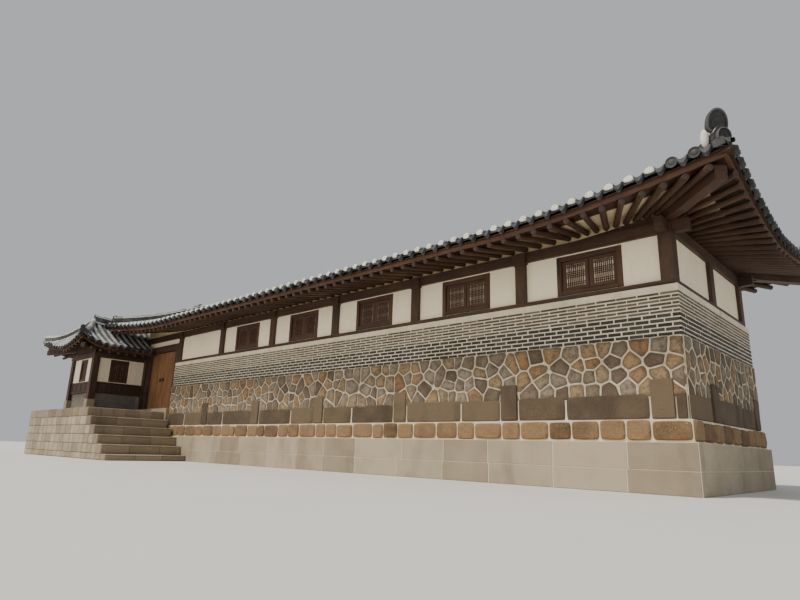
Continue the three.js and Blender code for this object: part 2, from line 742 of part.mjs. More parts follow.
// Ridges: the level ridge, with the hips or the verges at its ends, as one crown of stacked tiles
const ridgeBed = 60;
const hipWidthShare = 0.85;
const hipHeightShare = 0.9;
const vergeHeightShare = 1.1;
const mainCrown = { half: 120, high: 250, endRise: 90 };
const wingCrown = { half: 95, high: 230, endRise: 100 };
function ridgeCrown(roof, { half, high, endRise }) {
  const middle = roof.along === "x" ? (roof.front + roof.back) / 2 : (roof.left + roof.right) / 2;
  const low = (roof.along === "x" ? roof.left : roof.front) + (roof.gable || roof.endInset);
  const top = (roof.along === "x" ? roof.right : roof.back) - roof.endInset;
  const point = (t, s) => (roof.along === "x" ? [t, s] : [s, t]);
  const level = [0, 0.06, 0.12, 0.2, 0.3, 0.5, 0.7, 0.88, 1].map((s) => {
    const t = low + (top - low) * s;
    const rise = roof.gable && s < 0.5 ? 0 : endRise * Math.abs(2 * s - 1) ** 3;
    return [...point(t, middle), roofTop(roof, ...point(t, middle)) + rise];
  });
  const pieces = [beamAlong(level, half, -ridgeBed, high)];
  for (const [endAt, from] of [[low, roof.gable ? 0 : -1], [top, 1]]) {
    const share = from === 0 ? vergeHeightShare : hipHeightShare;
    for (const hand of [-1, 1]) {
      const path = [0.02, 0.12, 0.25, 0.4, 0.6, 0.8, 1].map((s) => {
        const t = endAt + from * roof.endInset * (1 - s);
        const across = middle + hand * roof.run * (1 - s);
        const at = point(t, across);
        return [...flared(roof, ...at), roofTop(roof, ...at)];
      });
      pieces.push(beamAlong(path, half * hipWidthShare, 2, high * share));
    }
  }
  return join(pieces);
}
add("main_ridges", ridgeCrown(mainRoof, mainCrown).subtract(roofSlabCopy(mainRoof)), tile);

// The slab again, grown upwards by the seam, to seat a crown on it
function roofSlabCopy(roof) {
  const up = roofSlab(roof).translate(0, 0, seam);
  return roofSlab(roof).add(up);
}

// Wing: stone course with corner blocks, brick, boards and plaster in closed rings behind a timber frame
function ringWall(face, thick, low, high) {
  const outer = box(wingLeft - face, wingRight + face, wingFront - face, depth + face, low, high);
  const inner = face - thick;
  return outer.subtract(box(
    wingLeft - inner, wingRight + inner, wingFront - inner, depth + inner, low - 10, high + 10,
  ));
}
const wingYs = [wingFront, depth];
const wingMidYs = [wingFront + (depth - wingFront) / 3, wingFront + (depth - wingFront) * 2 / 3];
const wingPostHalf = wingPost / 2;
const postAt = (x, y, half, low, high) => box(x - half, x + half, y - half, y + half, low, high);
const gateZone = box(wingRight - 400, wingRight + 3000, -gatePostFace - 2, depth + 400, 0, farAbove);
const wingCore = box(
  wingLeft - wingSkin - seam, wingRight + wingSkin + seam,
  wingFront - wingSkin - seam, depth + wingSkin + seam, 0, farAbove,
);
const wingTopSeam = terraceTop + seam;
add("wing_base", box(
  wingLeft - wingBasePast, gateBaseLeft - seam, -plinthFace, depth + wingBasePast, 0, terraceTop,
), granite);
const wingCourse = join([
  ringWall(wingSkin, wingWall, wingTopSeam, wingCourseTop),
  ...wingYs.map((y) => postAt(wingLeft, y, wingPostHalf + blockPast, wingTopSeam, blockTop)),
  postAt(wingRight, wingFront, wingPostHalf + blockPast, wingTopSeam, blockTop),
]);
const wingLine = [wingFront + wingPostHalf, depth - wingPostHalf];
const wingSide = [wingLeft + wingPostHalf, wingRight - wingPostHalf];
const courseSide = (x0, x1, y0, y1) => wingCourse.intersect(box(x0, x1, y0, y1, 0, farAbove));
add("wing_front_course", courseSide(-farAbove * 9, farAbove, -farAbove, wingLine[0]), granite);
add("wing_back_course", courseSide(-farAbove * 9, farAbove, wingLine[1], farAbove), granite);
add("wing_left_course", courseSide(
  -farAbove * 9, wingSide[0], wingLine[0] + seam, wingLine[1] - seam,
), granite);
add("wing_right_course", courseSide(
  wingSide[1], farAbove, wingLine[0] + seam, wingLine[1] - seam,
), granite);
const blocks = join([
  ...wingYs.map((y) => postAt(wingLeft, y, wingPostHalf + blockPast + 1, floorTop, blockTop + seam)),
  postAt(wingRight, wingFront, wingPostHalf + blockPast + 1, floorTop, blockTop + seam),
]);
add("wing_brick_wall", ringWall(
  wingSkin - brickRecess, wingWall - brickRecess, wingCourseTop + seam, wingBrickTop,
).subtract(blocks), brick);
add("wing_board_wall", ringWall(wingSkin, wingWall, wingBrickTop + seam, wingBoardTop), timber);

const wingWindowWidth = 590;
const wingWindowLow = wingBoardTop + windowGap;
const wingWindowHigh = wingHeadLow - windowGap;
const wingFaceMiddle = wingSkin - wingWall / 2;
const wingWindows = {
  wing_front_window: [(wingLeft + wingRight) / 2, wingFront - wingFaceMiddle, 0],
  wing_right_window: [wingRight + wingFaceMiddle, (wingFront - wallFace) / 2, 90],
  wing_left_window: [wingLeft - wingFaceMiddle, (depth + wingFront) / 2, 90],
};
const turned = (made, x, y, degrees) => made.rotate([0, 0, degrees]).translate(x, y, 0);
const wingHoles = Object.values(wingWindows).map(([x, y, degrees]) => turned(
  windowHole(0, -wingWall, wingWall, wingWindowLow, wingWindowHigh, wingWindowWidth), x, y, degrees,
));
add("wing_plaster_wall", ringWall(wingSkin, wingWall, wingBoardTop + seam, wingHeadTop).subtract(
  join(wingHoles),
), plaster);
for (const [name, [x, y, degrees]] of Object.entries(wingWindows)) {
  add(name, turned(windowUnit(wingWindowWidth, wingWindowLow, wingWindowHigh), x, y, degrees), timber);
}
const wingHead = box(
  wingLeft - wingPostHalf, wingRight + wingPostHalf, wingFront - wingPostHalf, depth + wingPostHalf,
  wingHeadLow, wingHeadTop,
);
add("wing_timber_frame", join([
  wingHead,
  ...wingYs.map((y) => postAt(wingLeft, y, wingPostHalf, blockTop + seam * 2, wingHeadTop)),
  ...wingMidYs.map((y) => postAt(wingLeft, y, wingPostHalf, wingBrickTop, wingHeadTop)),
  postAt(wingRight, wingFront, wingPostHalf, blockTop + seam * 2, wingHeadTop),
]).subtract(wingCore).subtract(gateZone), timber);

// Wing roof, notched where the eave of the long range passes over it
const wingNotchLeft = gateLeftX - frameFace - 2;
const wingNotchFront = -760;
const wingNotchTop = 3820;
const gableIn = 15;
const gableFrom = 130; // from the long walls' post lines to the gable wall's upright edges
const gableAbove = 5300; // higher than the roof there, which cuts the wall to its own slopes
add("left_gable_wall", seated(box(
  gateLeftX - frameFace, gateLeftX + gableIn, gableFrom, depth - gableFrom, wingHeadTop + seam, gableAbove,
), roofSlab(mainRoof)), plaster);
const mainEaveZone = join([
  box(wingNotchLeft, 3000, -gatePostFace - 2, depth + 3000, 0, farAbove),
  box(wingNotchLeft, 3000, wingNotchFront, depth + 3000, wingNotchTop, farAbove),
]);
const trimmed = (made) => largest(made.subtract(mainEaveZone));
add("wing_roof", trimmed(roofSlab(wingRoof)), tile);
add("wing_eave_board", trimmed(eaveBoard(wingRoof)), timber);
add("wing_ridges", trimmed(ridgeCrown(wingRoof, wingCrown).subtract(roofSlabCopy(wingRoof))), tile);
const wingPurlinLow = wingHeadTop + seam;
const wingPurlinTop = 3470;
const wingHipHalf = 60;
const wingHipHeight = 150;
const wingPurlin = (x0, x1, y0, y1) => box(x0, x1, y0, y1, wingPurlinLow, wingPurlinTop);
const wingWide = wingRight - wingLeft;
const wingLong = depth - wingFront;
const rightShown = -wingFront - 260;
const fanned = (place, length, corners) => rafterRow(
  wingRoof, place, length, wingEave, corners, wingRafterRadius, 0.2,
);
const rightRow = fanned((t, out) => [wingRight + out, wingFront + t], wingLong, [true, true]).filter(
  (made) => made.boundingBox().max[1] < -240,
);
const wingHips = [
  [wingRoof.right, wingRoof.front, wingRight, wingFront],
  [wingRoof.left, wingRoof.front, wingLeft, wingFront],
  [wingRoof.left, wingRoof.back, wingLeft, depth],
].map(([x, y, px, py]) => hipRafter(wingRoof, x, y, px, py, wingHipHalf, wingHipHeight, 0.2));
add("wing_rafters", trimmed(join([
  wingPurlin(wingLeft - purlinHalf, wingRight + purlinHalf, wingFront - purlinHalf, wingFront + purlinHalf),
  wingPurlin(wingLeft - purlinHalf, wingLeft + purlinHalf, wingFront, depth),
  wingPurlin(wingLeft - purlinHalf, wingNotchLeft - 100, depth - purlinHalf, depth + purlinHalf),
  wingPurlin(wingRight - purlinHalf, wingRight + purlinHalf, wingFront, wingFront + rightShown),
  ...fanned((t, out) => [wingLeft + t, wingFront - out], wingWide, [true, true]),
  ...fanned((t, out) => [wingLeft - out, wingFront + t], wingLong, [true, true]),
  ...fanned((t, out) => [wingLeft + t, depth + out], wingWide, [true, true]).slice(0, 6),
  ...rightRow,
  ...wingHips,
]).subtract(roofSlab(wingRoof).translate(0, 0, -seam))), timber);

// Terrace and the steps that climb to it
add("terrace", box(
  terraceLeft, topNosing, terraceFront, -plinthFace - seam * 2, 0, terraceTop,
), granite);
const flight = [];
for (let i = 1; i <= stepCount; i += 1) {
  flight.push(box(
    topNosing + seam, topNosing + tread * i, terraceFront, -plinthFace - seam * 2, 0, terraceTop - riser * i,
  ));
}
add("steps", join(flight), granite);

house.updateMatrixWorld(true);
const bounds = new THREE.Box3().setFromObject(house);
house.position.set(-(bounds.min.x + bounds.max.x) / 2, -(bounds.min.y + bounds.max.y) / 2, -bounds.min.z);
const site = new THREE.Group();
site.add(house);

export default site;
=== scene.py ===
# A long hanok range with a gate, a wing and stone steps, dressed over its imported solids.
import math
from itertools import product

import bpy
import numpy as np
from mathutils import Matrix, Vector


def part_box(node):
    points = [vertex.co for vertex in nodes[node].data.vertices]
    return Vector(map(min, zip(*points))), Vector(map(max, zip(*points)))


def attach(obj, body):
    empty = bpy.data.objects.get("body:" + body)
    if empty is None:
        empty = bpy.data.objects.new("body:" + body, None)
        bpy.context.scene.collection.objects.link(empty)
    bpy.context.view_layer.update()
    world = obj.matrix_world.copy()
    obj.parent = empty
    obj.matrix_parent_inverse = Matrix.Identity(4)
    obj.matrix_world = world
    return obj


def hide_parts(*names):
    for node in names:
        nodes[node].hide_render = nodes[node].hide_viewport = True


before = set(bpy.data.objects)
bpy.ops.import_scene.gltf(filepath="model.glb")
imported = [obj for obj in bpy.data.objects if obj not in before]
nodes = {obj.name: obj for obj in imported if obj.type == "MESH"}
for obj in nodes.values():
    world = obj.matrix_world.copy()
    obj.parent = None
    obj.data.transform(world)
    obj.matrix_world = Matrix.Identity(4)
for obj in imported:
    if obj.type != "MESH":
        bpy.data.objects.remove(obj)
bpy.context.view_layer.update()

wallLow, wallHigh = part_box("front_brick_wall")
shift = np.array([wallHigh.x - 0.13, wallLow.y + 0.13, 0.0])  # from the front right corner post to the part's own frame
print("frame loaded", len(nodes), "nodes")

house = {
    "bay": 2.42, "roomBays": 6, "depth": 3.6, "postHalf": 0.1, "wallFace": 0.13, "roughFace": 0.18, "plinthFace": 0.24,
    "plinthTop": 0.68, "roughTop": 0.98, "blockTop": 1.35, "stoneTop": 2.12, "darkTop": 2.455, "sillTop": 2.95,
    "headLow": 3.66, "headTop": 3.84,
}
rangeLeft = -house["bay"] * house["roomBays"] - house["postHalf"]  # left end of the long masonry
gateLeft = -house["bay"] * (house["roomBays"] + 1)
wing = {
    "left": gateLeft - 1.76, "right": gateLeft, "front": -1.63, "back": 3.6, "skin": 0.02, "postHalf": 0.095,
    "courseTop": 1.47, "brickTop": 1.94, "boardTop": 2.29, "headLow": 3.05, "headTop": 3.2,
}


# Shader maths: one output of a node, with arithmetic that adds Math nodes
class Socket:
    def __init__(self, shader, out):
        self.shader = shader
        self.out = out

    def maths(self, operation, *values):
        return self.shader.add("Math", {"operation": operation}, dict(enumerate(values)))

    def __add__(self, other):
        return self.maths("ADD", self, other)

    def __radd__(self, other):
        return self.maths("ADD", other, self)

    def __sub__(self, other):
        return self.maths("SUBTRACT", self, other)

    def __rsub__(self, other):
        return self.maths("SUBTRACT", other, self)

    def __mul__(self, other):
        return self.maths("MULTIPLY", self, other)

    def __rmul__(self, other):
        return self.maths("MULTIPLY", other, self)

    def __gt__(self, other):
        return self.maths("GREATER_THAN", self, other)

    def __lt__(self, other):
        return self.maths("LESS_THAN", self, other)


# One material: nodes are added by type, with their settings first and then their values or links
class Shader:
    def __init__(self, name):
        self.material = bpy.data.materials.new(name)
        self.material.use_nodes = True
        self.tree = self.material.node_tree
        self.surface = self.tree.nodes["Principled BSDF"]

    def link(self, value, target):
        if isinstance(value, Socket):
            self.tree.links.new(value.out, target)
        elif isinstance(value, tuple) and len(value) == 3 and target.type == "RGBA":
            target.default_value = (*value, 1.0)
        else:
            target.default_value = value

    def add(self, kind, settings, values, output=0):
        made = self.tree.nodes.new("ShaderNode" + kind)
        for key, setting in settings.items():
            if key == "stops":
                while len(made.color_ramp.elements) < len(setting):
                    made.color_ramp.elements.new(0.5)
                for element, (place, colour) in zip(made.color_ramp.elements, setting):
                    element.position = place
                    element.color = (*colour, 1.0)
            else:
                setattr(made, key, setting)
        for key, value in values.items():
            self.link(value, made.inputs[key])
        return Socket(self, made.outputs[output])

    def place(self):
        return self.add("TexCoord", {}, {}, "Object")

    def reading(self, name, output="Fac"):
        return self.add("Attribute", {"attribute_name": name}, {}, output)

    def stretched(self, vector, factors):
        return self.add("VectorMath", {"operation": "MULTIPLY"}, {0: vector, 1: factors})

    def part(self, vector, axis):
        return self.add("SeparateXYZ", {}, {0: vector}, axis)

    def joined(self, *parts):
        return self.add("CombineXYZ", {}, dict(enumerate(parts)))

    def noise(self, vector, scale, detail=3.0, rough=0.55):
        return self.add("TexNoise", {}, {"Vector": vector, "Scale": scale, "Detail": detail, "Roughness": rough})

    def ramp(self, value, stops):
        return self.add("ValToRGB", {"stops": stops}, {0: value})

    def blend(self, factor, first, second, kind="MIX"):
        settings = {"data_type": "RGBA", "blend_type": kind, "clamp_factor": True}
        return self.add("Mix", settings, {0: factor, 6: first, 7: second}, 2)

    def between(self, value, low, high):
        return self.add("MapRange", {}, {0: value, 1: low, 2: high, 3: 0.0, 4: 1.0})

    def finish(self, colour, roughness, height=None, distance=0.004, strength=0.6, metallic=0.0):
        self.link(colour, self.surface.inputs["Base Color"])
        self.link(roughness, self.surface.inputs["Roughness"])
        self.link(metallic, self.surface.inputs["Metallic"])
        if height is not None:
            bump = self.add("Bump", {}, {"Strength": strength, "Distance": distance, "Height": height})
            self.link(bump, self.surface.inputs["Normal"])
        return self.material


# Stone with mineral specks: broad cloudy tone, fine salt and pepper grain, and a rough pitted skin
def graniteFinish(name, **look):
    s = Shader(name)
    p = s.place()
    cloud = s.noise(p, look["cloud"], 4.0)
    grain = s.noise(p, look["grain"], 2.0, 0.7)
    base = s.ramp(cloud * 0.75 + s.reading("tone") * 0.5 * look["spread"] + 0.12, look["stops"])
    specked = s.blend(s.between(grain, 0.56, 0.68) * look["speck"], base, look["dark"])
    lit = s.blend(s.between(grain, 0.44, 0.3) * look["speck"], specked, look["light"])
    stain = s.between(s.noise(s.stretched(p, (1.0, 1.0, 0.35)), 1.7, 5.0), 0.55, 0.75)
    colour = s.blend(stain * look["stain"], lit, look["stainColour"])
    height = grain * 0.35 + s.noise(p, look["pits"], 5.0, 0.65)
    return s.finish(colour, 0.72 + grain * 0.25, height, look["relief"], 0.7)


granite = graniteFinish(
    "pale granite", cloud=1.4, grain=150.0, pits=26.0, spread=0.8, speck=0.75, stain=0.6, relief=0.008,
    stops=[(0.25, (0.185, 0.147, 0.09)), (0.6, (0.315, 0.26, 0.175)), (0.9, (0.45, 0.385, 0.275))],
    dark=(0.075, 0.062, 0.045), light=(0.66, 0.60, 0.48), stainColour=(0.16, 0.13, 0.09))
stepStone = graniteFinish(
    "worn step stone", cloud=1.8, grain=130.0, pits=22.0, spread=1.0, speck=0.75, stain=0.7, relief=0.01,
    stops=[(0.2, (0.10, 0.075, 0.045)), (0.55, (0.185, 0.145, 0.095)), (0.9, (0.29, 0.235, 0.16))],
    dark=(0.05, 0.038, 0.024), light=(0.5, 0.43, 0.32), stainColour=(0.10, 0.075, 0.045))
tanStone = graniteFinish(
    "hewn tan stone", cloud=3.2, grain=110.0, pits=17.0, spread=1.2, speck=0.7, stain=0.7, relief=0.02,
    stops=[(0.2, (0.05, 0.026, 0.010)), (0.5, (0.125, 0.07, 0.029)), (0.85, (0.25, 0.155, 0.072))],
    dark=(0.06, 0.035, 0.016), light=(0.55, 0.42, 0.27), stainColour=(0.11, 0.065, 0.03))
blockStone = graniteFinish(
    "squared brown stone", cloud=2.2, grain=120.0, pits=20.0, spread=1.0, speck=0.6, stain=0.7, relief=0.01,
    stops=[(0.2, (0.032, 0.020, 0.0105)), (0.55, (0.068, 0.046, 0.025)), (0.9, (0.14, 0.10, 0.057))],
    dark=(0.02, 0.013, 0.008), light=(0.25, 0.195, 0.13), stainColour=(0.034, 0.021, 0.011))


# Field stones: each stone has its own tone, from grey through buff to rust, under the same specks and pits. Towards the
# rim each is darkened with painted shade, as where the stone falls back into the joint; the grain vector's first part
# tells how far in a point lies.
def fieldStoneFinish():
    s = Shader("field stone")
    p = s.place()
    grain = s.noise(p, 120.0, 2.0, 0.7)
    base = s.ramp(s.reading("tone"), [
        (0.0, (0.085, 0.06, 0.035)), (0.18, (0.17, 0.13, 0.085)), (0.35, (0.25, 0.215, 0.16)),
        (0.55, (0.31, 0.265, 0.19)), (0.7, (0.32, 0.23, 0.125)), (0.88, (0.38, 0.24, 0.105)),
        (1.0, (0.27, 0.125, 0.045)),
    ])
    clouded = s.blend(s.between(s.noise(p, 6.0, 4.0), 0.35, 0.72) * 0.4, base, (0.38, 0.30, 0.195))
    mottled = s.blend(s.between(s.noise(p, 12.0, 6.0, 0.75), 0.45, 0.62) * 0.75, clouded, (0.07, 0.048, 0.028))
    specked = s.blend(s.between(grain, 0.56, 0.7) * 0.5, mottled, (0.06, 0.045, 0.03))
    lit = s.blend(s.between(grain, 0.42, 0.3) * 0.4, specked, (0.50, 0.41, 0.29))
    # Painted shade round each stone's rim: the rim mask darkens the colour there
    rim = 1.0 - s.part(s.reading("grain", "Vector"), "X")
    colour = s.blend(rim * 0.6, lit, (0.055, 0.038, 0.025))
    height = s.noise(p, 30.0, 5.0, 0.65) + grain * 0.3
    return s.finish(colour, 0.74 + grain * 0.2, height, 0.02, 0.9)


# Lime mortar and plaster: off-white, with a soft stain that follows the wall down and a trowelled skin
def limeFinish(name, **look):
    s = Shader(name)
    p = s.place()
    cloud = s.noise(p, look["cloud"], 5.0, 0.6)
    streak = s.noise(s.stretched(p, (3.0, 3.0, 0.4)), look["streak"], 4.0)
    base = s.blend(s.between(cloud, 0.35, 0.7), look["colour"], look["shade"])
    stained = s.blend(s.between(streak, 0.52, 0.78) * look["stain"], base, look["stainColour"])
    wandering = s.blend(0.25, p, s.noise(p, 3.0, 3.0), "ADD")
    veins = s.add("TexVoronoi", {"feature": "DISTANCE_TO_EDGE"}, {"Vector": wandering, "Scale": look["cracks"]})
    crack = s.between(veins, 0.006, 0.0) * look["crack"]
    colour = s.blend(crack, stained, look["crackColour"])
    height = s.noise(p, look["trowel"], 4.0) + s.noise(p, 190.0, 2.0) * 0.3 - crack * 0.4
    return s.finish(colour, 0.9, height, look["relief"], 0.5)


bedding = dict(cloud=2.4, streak=3.0, stain=0.4, cracks=4.0, crack=0.2, trowel=24.0, relief=0.005)
plaster = limeFinish(
    "lime plaster", cloud=1.3, streak=1.6, stain=0.35, cracks=1.7, crack=0.35, trowel=9.0, relief=0.004,
    colour=(0.94, 0.85, 0.67), shade=(0.89, 0.78, 0.58), stainColour=(0.70, 0.55, 0.35),
    crackColour=(0.42, 0.36, 0.28))
mortar = limeFinish(
    "lime mortar", **bedding, colour=(0.76, 0.68, 0.53), shade=(0.62, 0.535, 0.39), stainColour=(0.42, 0.34, 0.23),
    crackColour=(0.34, 0.30, 0.25))
greyMortar = limeFinish(
    "grey mortar", **bedding, colour=(0.30, 0.27, 0.23), shade=(0.23, 0.205, 0.17), stainColour=(0.17, 0.145, 0.115),
    crackColour=(0.14, 0.12, 0.095))
infill = limeFinish(
    "eave infill", cloud=2.0, streak=2.0, stain=0.4, cracks=2.2, crack=0.3, trowel=12.0, relief=0.004,
    colour=(0.78, 0.66, 0.42), shade=(0.66, 0.54, 0.33), stainColour=(0.42, 0.32, 0.20),
    crackColour=(0.33, 0.26, 0.17))
limePlug = limeFinish(
    "lime plug", cloud=6.0, streak=5.0, stain=0.45, cracks=9.0, crack=0.15, trowel=40.0, relief=0.003,
    colour=(0.80, 0.775, 0.71), shade=(0.66, 0.635, 0.57), stainColour=(0.36, 0.34, 0.30),
    crackColour=(0.40, 0.38, 0.34))
fieldStone = fieldStoneFinish()


# Fired clay: tone of the piece, cloudy kiln marks, patches of dust and a fine tooth
def clayFinish(name, **look):
    s = Shader(name)
    p = s.place()
    cloud = s.noise(p, look["cloud"], 4.0)
    fine = s.noise(p, 90.0, 3.0, 0.65)
    mixed = s.reading("tone") * look["spread"] + cloud * (1.0 - look["spread"])
    base = s.ramp(mixed, look["stops"])
    dust = s.between(s.noise(p, look["dustScale"], 5.0, 0.6), 0.5, 0.72) * look["dust"]
    colour = s.blend(dust, base, look["dustColour"])
    height = fine * 0.6 + s.noise(p, 22.0, 3.0) * 0.6
    return s.finish(colour, look["rough"] + fine * 0.2, height, look["relief"], 0.5)


roofTile = clayFinish(
    "slate grey roof tile", cloud=5.0, spread=0.6, dustScale=3.5, dust=0.5, rough=0.55, relief=0.004,
    stops=[(0.15, (0.016, 0.017, 0.019)), (0.5, (0.038, 0.040, 0.043)), (0.85, (0.092, 0.095, 0.097))],
    dustColour=(0.15, 0.147, 0.135))
# The pale tile is a lit copy of the dark roof tile: a painted highlight on the cover arches and on the ridge caps
coverTile = clayFinish(
    "pale cover tile", cloud=6.0, spread=0.6, dustScale=4.5, dust=0.55, rough=0.5, relief=0.004,
    stops=[(0.15, (0.17, 0.175, 0.18)), (0.5, (0.34, 0.345, 0.345)), (0.85, (0.52, 0.52, 0.50))],
    dustColour=(0.56, 0.54, 0.50))
endTile = clayFinish(
    "dark end tile", cloud=9.0, spread=0.4, dustScale=8.0, dust=0.25, rough=0.5, relief=0.003,
    stops=[(0.1, (0.012, 0.012, 0.013)), (0.5, (0.028, 0.029, 0.031)), (0.9, (0.07, 0.07, 0.071))],
    dustColour=(0.13, 0.13, 0.122))
darkBrick = clayFinish(
    "dark slate brick", cloud=8.0, spread=0.65, dustScale=14.0, dust=0.35, rough=0.62, relief=0.003,
    stops=[(0.1, (0.014, 0.0135, 0.011)), (0.55, (0.029, 0.028, 0.023)), (0.95, (0.072, 0.068, 0.057))],
    dustColour=(0.11, 0.10, 0.085))
thinBrick = clayFinish(
    "thin grey brick", cloud=8.0, spread=0.7, dustScale=12.0, dust=0.35, rough=0.68, relief=0.003,
    stops=[(0.0, (0.035, 0.032, 0.026)), (0.45, (0.075, 0.064, 0.048)), (0.75, (0.135, 0.108, 0.075)),
           (1.0, (0.21, 0.175, 0.13))], dustColour=(0.22, 0.195, 0.155))
wingBrick = clayFinish(
    "weathered wing brick", cloud=5.0, spread=0.35, dustScale=10.0, dust=0.3, rough=0.7, relief=0.003,
    stops=[(0.0, (0.125, 0.11, 0.095)), (0.5, (0.175, 0.155, 0.135)), (1.0, (0.235, 0.21, 0.18))],
    dustColour=(0.25, 0.225, 0.195))


# Wood: fibres are noise stretched along the grain, with dark pores, long drying checks and a worn, dusty face.
# The grain vector runs along the fibres in its first part.
def woodFinish(name, look, grainOf=lambda s: s.reading("grain", "Vector")):
    s = Shader(name)
    g = grainOf(s)
    broad = s.noise(s.stretched(g, (0.7, 5.0, 5.0)), 1.6, 4.0)
    fibre = s.noise(s.stretched(g, (1.2, 30.0, 30.0)), 3.0, 4.0, 0.7)
    pores = s.noise(s.stretched(g, (6.0, 110.0, 110.0)), 3.2, 2.0, 0.8)
    check = s.noise(s.stretched(g, (0.55, 16.0, 16.0)), 1.9, 2.0, 0.4)
    base = s.ramp(broad * 0.5 + fibre * 0.5, look["stops"])
    pored = s.blend(s.between(pores, 0.55, 0.75) * 0.55, base, look["pore"])
    split = s.between(check, 0.66, 0.70)
    checked = s.blend(split * look["checks"], pored, look["checkColour"])
    worn = s.between(s.noise(g, 2.3, 4.0), 0.52, 0.75) * look["worn"]
    colour = s.blend(worn, checked, look["wornColour"])
    height = fibre * 0.5 + pores * 0.25 - split * 0.9
    return s.finish(colour, look["rough"] + fibre * 0.25, height, look["relief"], 0.7)


# Solids from the frame: the fibres run along one axis, but up the posts between two heights
def solidGrain(axis, low=0.0, high=0.0, turn=None):
    def grainOf(s):
        p = s.place()
        x, y, z = (s.part(p, a) for a in "XYZ")
        if turn:
            return s.joined(x * turn[0] + y * turn[1], x * turn[1] - y * turn[0], z)
        lying = s.joined(*{"X": (x, y, z), "Y": (y, x, z), "Z": (z, x, y)}[axis])
        if high <= low:
            return lying
        inside = (z > low) * (z < high)
        return s.add("Mix", {"data_type": "VECTOR"}, {0: inside, 4: lying, 5: s.joined(z, x, y)}, 1)

    return grainOf


timberLook = dict(
    stops=[(0.25, (0.017, 0.008, 0.0045)), (0.5, (0.048, 0.022, 0.0105)), (0.75, (0.115, 0.058, 0.029))],
    pore=(0.009, 0.004, 0.003), checks=0.85, checkColour=(0.006, 0.003, 0.002), worn=0.3,
    wornColour=(0.125, 0.07, 0.04), rough=0.52, relief=0.004)
rafterLook = dict(timberLook, stops=[
    (0.25, (0.018, 0.008, 0.0045)), (0.5, (0.052, 0.023, 0.011)), (0.78, (0.125, 0.060, 0.030))])
fasciaLook = dict(timberLook, wornColour=(0.20, 0.105, 0.055), stops=[
    (0.25, (0.032, 0.0125, 0.006)), (0.5, (0.09, 0.038, 0.0165)), (0.78, (0.185, 0.088, 0.040))])
plankLook = dict(timberLook, pore=(0.022, 0.009, 0.004), wornColour=(0.27, 0.15, 0.072),
                 checkColour=(0.012, 0.005, 0.0025), stops=[
    (0.25, (0.056, 0.024, 0.0095)), (0.5, (0.205, 0.094, 0.036)), (0.72, (0.44, 0.232, 0.10))])
windowLook = dict(timberLook, stops=[
    (0.25, (0.024, 0.0095, 0.005)), (0.5, (0.062, 0.026, 0.0125)), (0.78, (0.13, 0.058, 0.028))])
beamWood = woodFinish("dark beam wood", timberLook)
rafterWood = woodFinish("rafter wood", rafterLook)
fasciaWood = woodFinish("fascia wood", fasciaLook)
plankWood = woodFinish("gate plank", plankLook)
windowWood = woodFinish("window wood", windowLook)


# Sawn ends: pale rings round the heart, from the distance to the piece's own axis
def endGrainFinish():
    s = Shader("sawn end grain")
    g = s.reading("grain", "Vector")
    across = s.joined(s.part(g, "Y"), s.part(g, "Z"), 0.0)
    wobble = s.noise(s.place(), 24.0, 3.0)
    far = s.add("VectorMath", {"operation": "LENGTH"}, {0: across}, "Value")
    rings = s.noise(s.joined(far * 140.0 + wobble * 1.5, 0.0, 0.0), 1.0, 1.0)
    base = s.ramp(rings, [(0.3, (0.026, 0.015, 0.010)), (0.6, (0.065, 0.043, 0.031)), (0.8, (0.125, 0.092, 0.07))])
    colour = s.blend(s.between(wobble, 0.58, 0.66) * 0.8, base, (0.05, 0.025, 0.016))
    return s.finish(colour, 0.8, rings + wobble, 0.003, 0.6)


# Window paper: warm white with soft fibres
def paperFinish():
    s = Shader("window paper")
    p = s.place()
    fibres = s.noise(s.stretched(p, (30.0, 30.0, 60.0)), 2.5, 4.0, 0.75)
    cloud = s.noise(p, 1.4, 3.0)
    base = s.blend(s.between(cloud, 0.35, 0.7), (0.86, 0.79, 0.64), (0.72, 0.63, 0.48))
    colour = s.blend(s.between(fibres, 0.55, 0.8) * 0.5, base, (0.90, 0.85, 0.72))
    return s.finish(colour, 0.85, fibres, 0.001, 0.4)


# Forged iron: near black, with rust in its hollows
def ironFinish():
    s = Shader("forged iron")
    p = s.place()
    fine = s.noise(p, 60.0, 4.0, 0.7)
    rust = s.between(s.noise(p, 28.0, 4.0), 0.5, 0.7)
    colour = s.blend(rust * 0.7, (0.018, 0.017, 0.017), (0.075, 0.032, 0.016))
    return s.finish(colour, 0.42 + rust * 0.4, fine, 0.001, 0.6, 0.85 - rust * 0.6)


endGrain, paper, iron = endGrainFinish(), paperFinish(), ironFinish()
print("materials ready")


